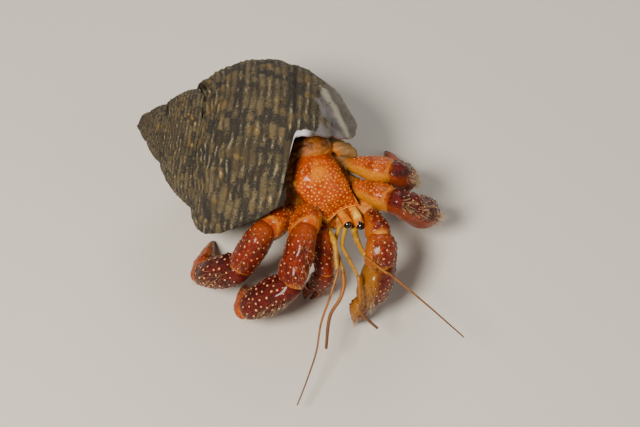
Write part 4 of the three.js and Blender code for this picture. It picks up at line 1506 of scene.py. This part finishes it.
# %% Fusing the skin
VOXEL = 0.24
rough_mesh = bpy.data.meshes.new("rough_skin")
bm.to_mesh(rough_mesh)
bm.free()
rough = bpy.data.objects.new("rough_skin", rough_mesh)
bpy.context.collection.objects.link(rough)
fuse = rough.modifiers.new("fuse", "REMESH")
fuse.mode = "VOXEL"
fuse.voxel_size = VOXEL
relax = rough.modifiers.new("relax", "SMOOTH")
relax.factor = 0.6
relax.iterations = 7
bpy.context.view_layer.update()
evaluated = rough.evaluated_get(bpy.context.evaluated_depsgraph_get())
fused = bpy.data.meshes.new_from_object(evaluated)
bpy.data.objects.remove(rough)
bm = bmesh.new()
bm.from_mesh(fused)
print("the fused skin has", len(bm.verts), "vertices")

# %% [markdown]
# Skin without folds would look like wax. So it gets fine folds across the body and small lumps,
# and each vertex is told how near it is to a joint, how far behind it lies and whether it is on
# the left flank.

# %% Folds in the skin
SKIN_FOLDS = 0.07
SKIN_LUMPS = 0.13
joint_layer = bm.verts.layers.float.new("joint")
behind_layer = bm.verts.layers.float.new("behind")
flank_layer = bm.verts.layers.float.new("flank")
for vert in bm.verts:
    near = min((vert.co - place).length / radius for place, radius in joint_balls)
    vert[joint_layer] = 1 - ease(near, 0.95, 1.9)
    ahead = (vert.co - BODY_CENTRE).dot(forward)
    vert[behind_layer] = 1 - ease(ahead, -6.5, -3.5)
    to_left = (vert.co - BODY_CENTRE).dot(left)
    vert[flank_layer] = 0.8 * ease(to_left, 3.6, 5.2) * (1 - ease(ahead, 1.0, 4.0))
    fold = math.sin((vert.co - BODY_CENTRE).dot(forward) * 4.5 + noise.noise(vert.co * 0.6) * 2)
    lump = noise.fractal(vert.co * 0.9, 0.6, 2.0, 3)
    vert.co += vert.normal * (SKIN_FOLDS * fold + SKIN_LUMPS * lump)
print("the folds stand", SKIN_FOLDS, "mm out and the lumps", SKIN_LUMPS, "mm")

# %% [markdown]
# The joint membranes are yellow-orange, the trunk ochre with rusty specks, the hind carapace
# browner, partly its own brown and partly painted shade under the shell's lip, and the left flank
# under the shell's lip a dull olive, darkened with painted shade.

# %% Painting the skin
skin_paint = Shader("soft_skin", roughness=0.5)
spot = skin_paint.place()
cloud = skin_paint.noise(spot, 0.6)
speck = skin_paint.noise(spot, 3.0, detail=4.0)
skin = skin_paint.mix(cloud, colour(176, 92, 14), colour(200, 130, 40))
# the hind part is browner: partly its own brown, partly painted shade under the shell's lip
behind = (skin_paint.attribute("behind") + (cloud - 0.5)).clamped()
brown = skin_paint.mix(skin_paint.step(cloud, 0.4, 0.62), colour(146, 80, 8), colour(92, 50, 10))
skin = skin_paint.mix(behind, skin, brown)
skin = skin_paint.mix(skin_paint.attribute("joint"), skin, colour(200, 124, 30))
# the left flank: a dull olive, partly its own colour and partly painted shade under the shell's lip
skin = skin_paint.mix(skin_paint.attribute("flank"), skin, colour(96, 80, 44))
skin = skin_paint.mix(skin_paint.step(speck, 0.56, 0.7) * 0.4, skin, colour(140, 60, 16))
skin_paint.set("Base Color", skin)
skin_paint.bump(speck, 0.0002)
soft_nodes = ["thorax", "hind_carapace", "abdomen", "leg4_left", "leg4_right"]
soft_nodes += [f"{leg}_coxa" for leg in LEGS] + [f"claw_{side}_coxa" for side in CLAWS]
hand_over("soft_skin", bm, skin_paint.material, "soft_skin", soft_nodes)


# %% [markdown]
# ## The bristles
#
# Stiff pale bristles stand along the upper and lower edges of the limbs, thick on the mouth feet
# and short on the leg tips. Each is a thin three-sided spike: a hair system would draw finer ones,
# but they would be lost as soon as the model leaves this program. A bristle's patch of the paint
# map lies where its root would be if the plates were unrolled and laid out in a grid.

# %% Bristles
BAKE_CELLS = 7  # cells along each side of the paint map, one for each plate
BAKE_MARGIN = 0.06  # left free round a cell, as a share of it
BAKE_PATCH = 0.003
BRISTLE_ROOT = 0.032  # radii
BRISTLE_TIP = 0.008
BRISTLE_SUNK = 0.08


def add_bristles(bm, plate, cell, count, middle, spread, length, reach=(0.1, 0.92)):
    uv = bm.loops.layers.uv["OFBake"]
    layer = bm.verts.layers.float["along"]
    for _ in range(count):
        share = rng.uniform(0.1, 0.9)
        angle = rng.gauss(middle, spread)
        if not reach[0] < plate.along(share) < reach[1]:
            continue
        place, normal = plate.point(share, angle), plate.normal(share, angle)
        ahead = (plate.point(share + 0.02, angle) - plate.point(share - 0.02, angle)).normalized()
        lean = normal + ahead * rng.uniform(0.2, 0.8)
        lean += Vector([rng.uniform(-0.25, 0.25) for _ in range(3)])
        reach_out = length * rng.uniform(0.5, 1.0)
        turn = lean.to_track_quat("Z", "Y").to_matrix().to_4x4()
        halfway = place + lean.normalized() * (reach_out / 2 - BRISTLE_SUNK)
        made = bmesh.ops.create_cone(
            bm, cap_ends=True, cap_tris=True, segments=3, radius1=BRISTLE_ROOT,
            radius2=BRISTLE_TIP, depth=reach_out, matrix=Matrix.Translation(halfway) @ turn,
        )
        column, row = cell % BAKE_CELLS, cell // BAKE_CELLS
        in_cell = 1 - 2 * BAKE_MARGIN
        u = (column + BAKE_MARGIN + in_cell * ((angle / (2 * math.pi)) % 1.0)) / BAKE_CELLS
        v = (row + BAKE_MARGIN + in_cell * share) / BAKE_CELLS
        for vert in made["verts"]:
            tip = (vert.co - place).dot(lean) / reach_out
            vert[layer] = tip
            for loop in vert.link_loops:
                aside = (loop.index % 3 - 1) / 2
                loop[uv].uv = (u + (tip - 0.5) * BAKE_PATCH, v + aside * BAKE_PATCH)


print("the paint map has", BAKE_CELLS**2, "cells")

# %% [markdown]
# The legs and claws carry the longest bristles, in a row along the upper and the lower edge of
# each plate. A leg's tip is short-haired all round, and the mouth feet are hairy in front.

# %% Bristles on the plates
BRISTLE_BROWN = colour(140, 84, 34)
BRISTLE_CREAM = colour(228, 200, 150)
USUAL_WIDTH = 7  # of a plate that has a leg's usual number of bristles
bristle_paint = Shader("bristle", roughness=0.5)
bristle_along = bristle_paint.attribute("along")
bristle_paint.set("Base Color", bristle_paint.mix(bristle_along, BRISTLE_BROWN, BRISTLE_CREAM))
groups = {leg: "leg_plate" for leg in LEGS}
groups["claw"] = "claw_plate"
groups["maxilliped"] = "mouthpart"
for group, slot in groups.items():
    bm = bmesh.new()
    bm.loops.layers.uv.new("OFBake")
    bm.verts.layers.float.new("along")
    for cell, (name, plate) in enumerate(plates.items()):
        if not name.startswith(group):
            continue
        size = plate.width / USUAL_WIDTH
        if name.endswith("dactyl"):
            add_bristles(bm, plate, cell, 130, 0.0, 2.0, 0.7, (0.08, 0.82))
        elif group == "maxilliped":
            add_bristles(bm, plate, cell, 70, math.pi / 2, 1.6, 1.2)
        elif name.endswith("merus"):
            add_bristles(bm, plate, cell, int(50 * size), 0.0, 0.3, 0.8 * size)
            add_bristles(bm, plate, cell, int(60 * size), math.pi, 0.36, 1.1 * size)
        else:
            add_bristles(bm, plate, cell, int(90 * size), 0.0, 0.24, 2.1 * size)
            add_bristles(bm, plate, cell, int(80 * size), math.pi, 0.30, 1.5 * size)
    hand_over(f"bristles_{group}", bm, bristle_paint.material, slot)


# %% [markdown]
# ## The floor, the light and the camera
#
# A plain pale floor, one broad soft light from the upper left in front of the animal, a weaker one
# on the other side, one behind and an even sky keep the shadows soft.

# %% The stage
FLOOR_SIZE = 1.6
bm = bmesh.new()
bmesh.ops.create_grid(bm, x_segments=1, y_segments=1, size=FLOOR_SIZE / 2)
mesh = bpy.data.meshes.new("floor")
bm.to_mesh(mesh)
bm.free()
floor = bpy.data.objects.new("floor", mesh)
bpy.context.collection.objects.link(floor)
floor_paint = Shader("floor", roughness=0.85)
floor_paint.principled.inputs["Base Color"].default_value = colour(206, 200, 190)
mesh.materials.append(floor_paint.material)
floor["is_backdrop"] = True
print("the floor is", FLOOR_SIZE, "m wide")

# %% [markdown]
# For each lamp come its place, its size, its power in watts and its tint. A lamp that is large for
# its distance throws a soft shadow.

# %% The lamps
LIT_SPOT = Vector((0, 0, 0.01))
WARM_WHITE = (1.0, 0.93, 0.83)
SOFT_WHITE = (1.0, 0.98, 0.95)
LAMPS = {
    "key": ((-0.14, -0.20, 0.34), 0.12, 2.7, WARM_WHITE),
    "fill": ((0.34, -0.12, 0.22), 0.3, 0.35, SOFT_WHITE),
    "back": ((0.05, 0.36, 0.26), 0.24, 0.7, SOFT_WHITE),
}
SKY_STRENGTH = 0.16
for name, (place, size, watts, tint) in LAMPS.items():
    data = bpy.data.lights.new(name, "AREA")
    data.shape = "DISK"
    data.size = size
    data.energy = watts
    data.color = tint
    lamp = bpy.data.objects.new(name, data)
    bpy.context.collection.objects.link(lamp)
    lamp.location = place
    lamp.rotation_euler = (LIT_SPOT - Vector(place)).to_track_quat("-Z", "Y").to_euler()
world = bpy.data.worlds.new("studio")
world.use_nodes = True
sky = world.node_tree.nodes["Background"].inputs
sky["Color"].default_value = (*SOFT_WHITE, 1.0)
sky["Strength"].default_value = SKY_STRENGTH
bpy.context.scene.world = world
print(len(LAMPS), "lamps and a sky of strength", SKY_STRENGTH)

# %% [markdown]
# The camera looks down at 55 degrees, through a lens of 100 mm, at the floor under the crab. A long
# lens from further off would flatten the animal, and a short one would swell its nearer claw.

# %% The camera
CAMERA_ELEVATION = math.radians(55)
CAMERA_DISTANCE = 355.56
LENS = 100
SENSOR_WIDTH = 36
CLIP_START = 0.01  # in metres
camera_data = bpy.data.cameras.new("camera")
camera_data.lens = LENS
camera_data.sensor_width = SENSOR_WIDTH
camera_data.clip_start = CLIP_START
camera = bpy.data.objects.new("camera", camera_data)
bpy.context.collection.objects.link(camera)
towards = Vector((0, -math.cos(CAMERA_ELEVATION), math.sin(CAMERA_ELEVATION)))
camera.location = (SHIFT + towards * CAMERA_DISTANCE) * MM
camera.rotation_euler = (math.pi / 2 - CAMERA_ELEVATION, 0, 0)
bpy.context.scene.camera = camera
print("the camera stands at", camera.location)

# %% [markdown]
# Last, the sizes of the solids and of the finished model are printed side by side.

# %% Sizes and the end
low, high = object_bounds()
sizes = {"cad": [list(cad_low), list(cad_high)], "model": [list(low), list(high)]}
print("solids", sizes["cad"], "model", sizes["model"])
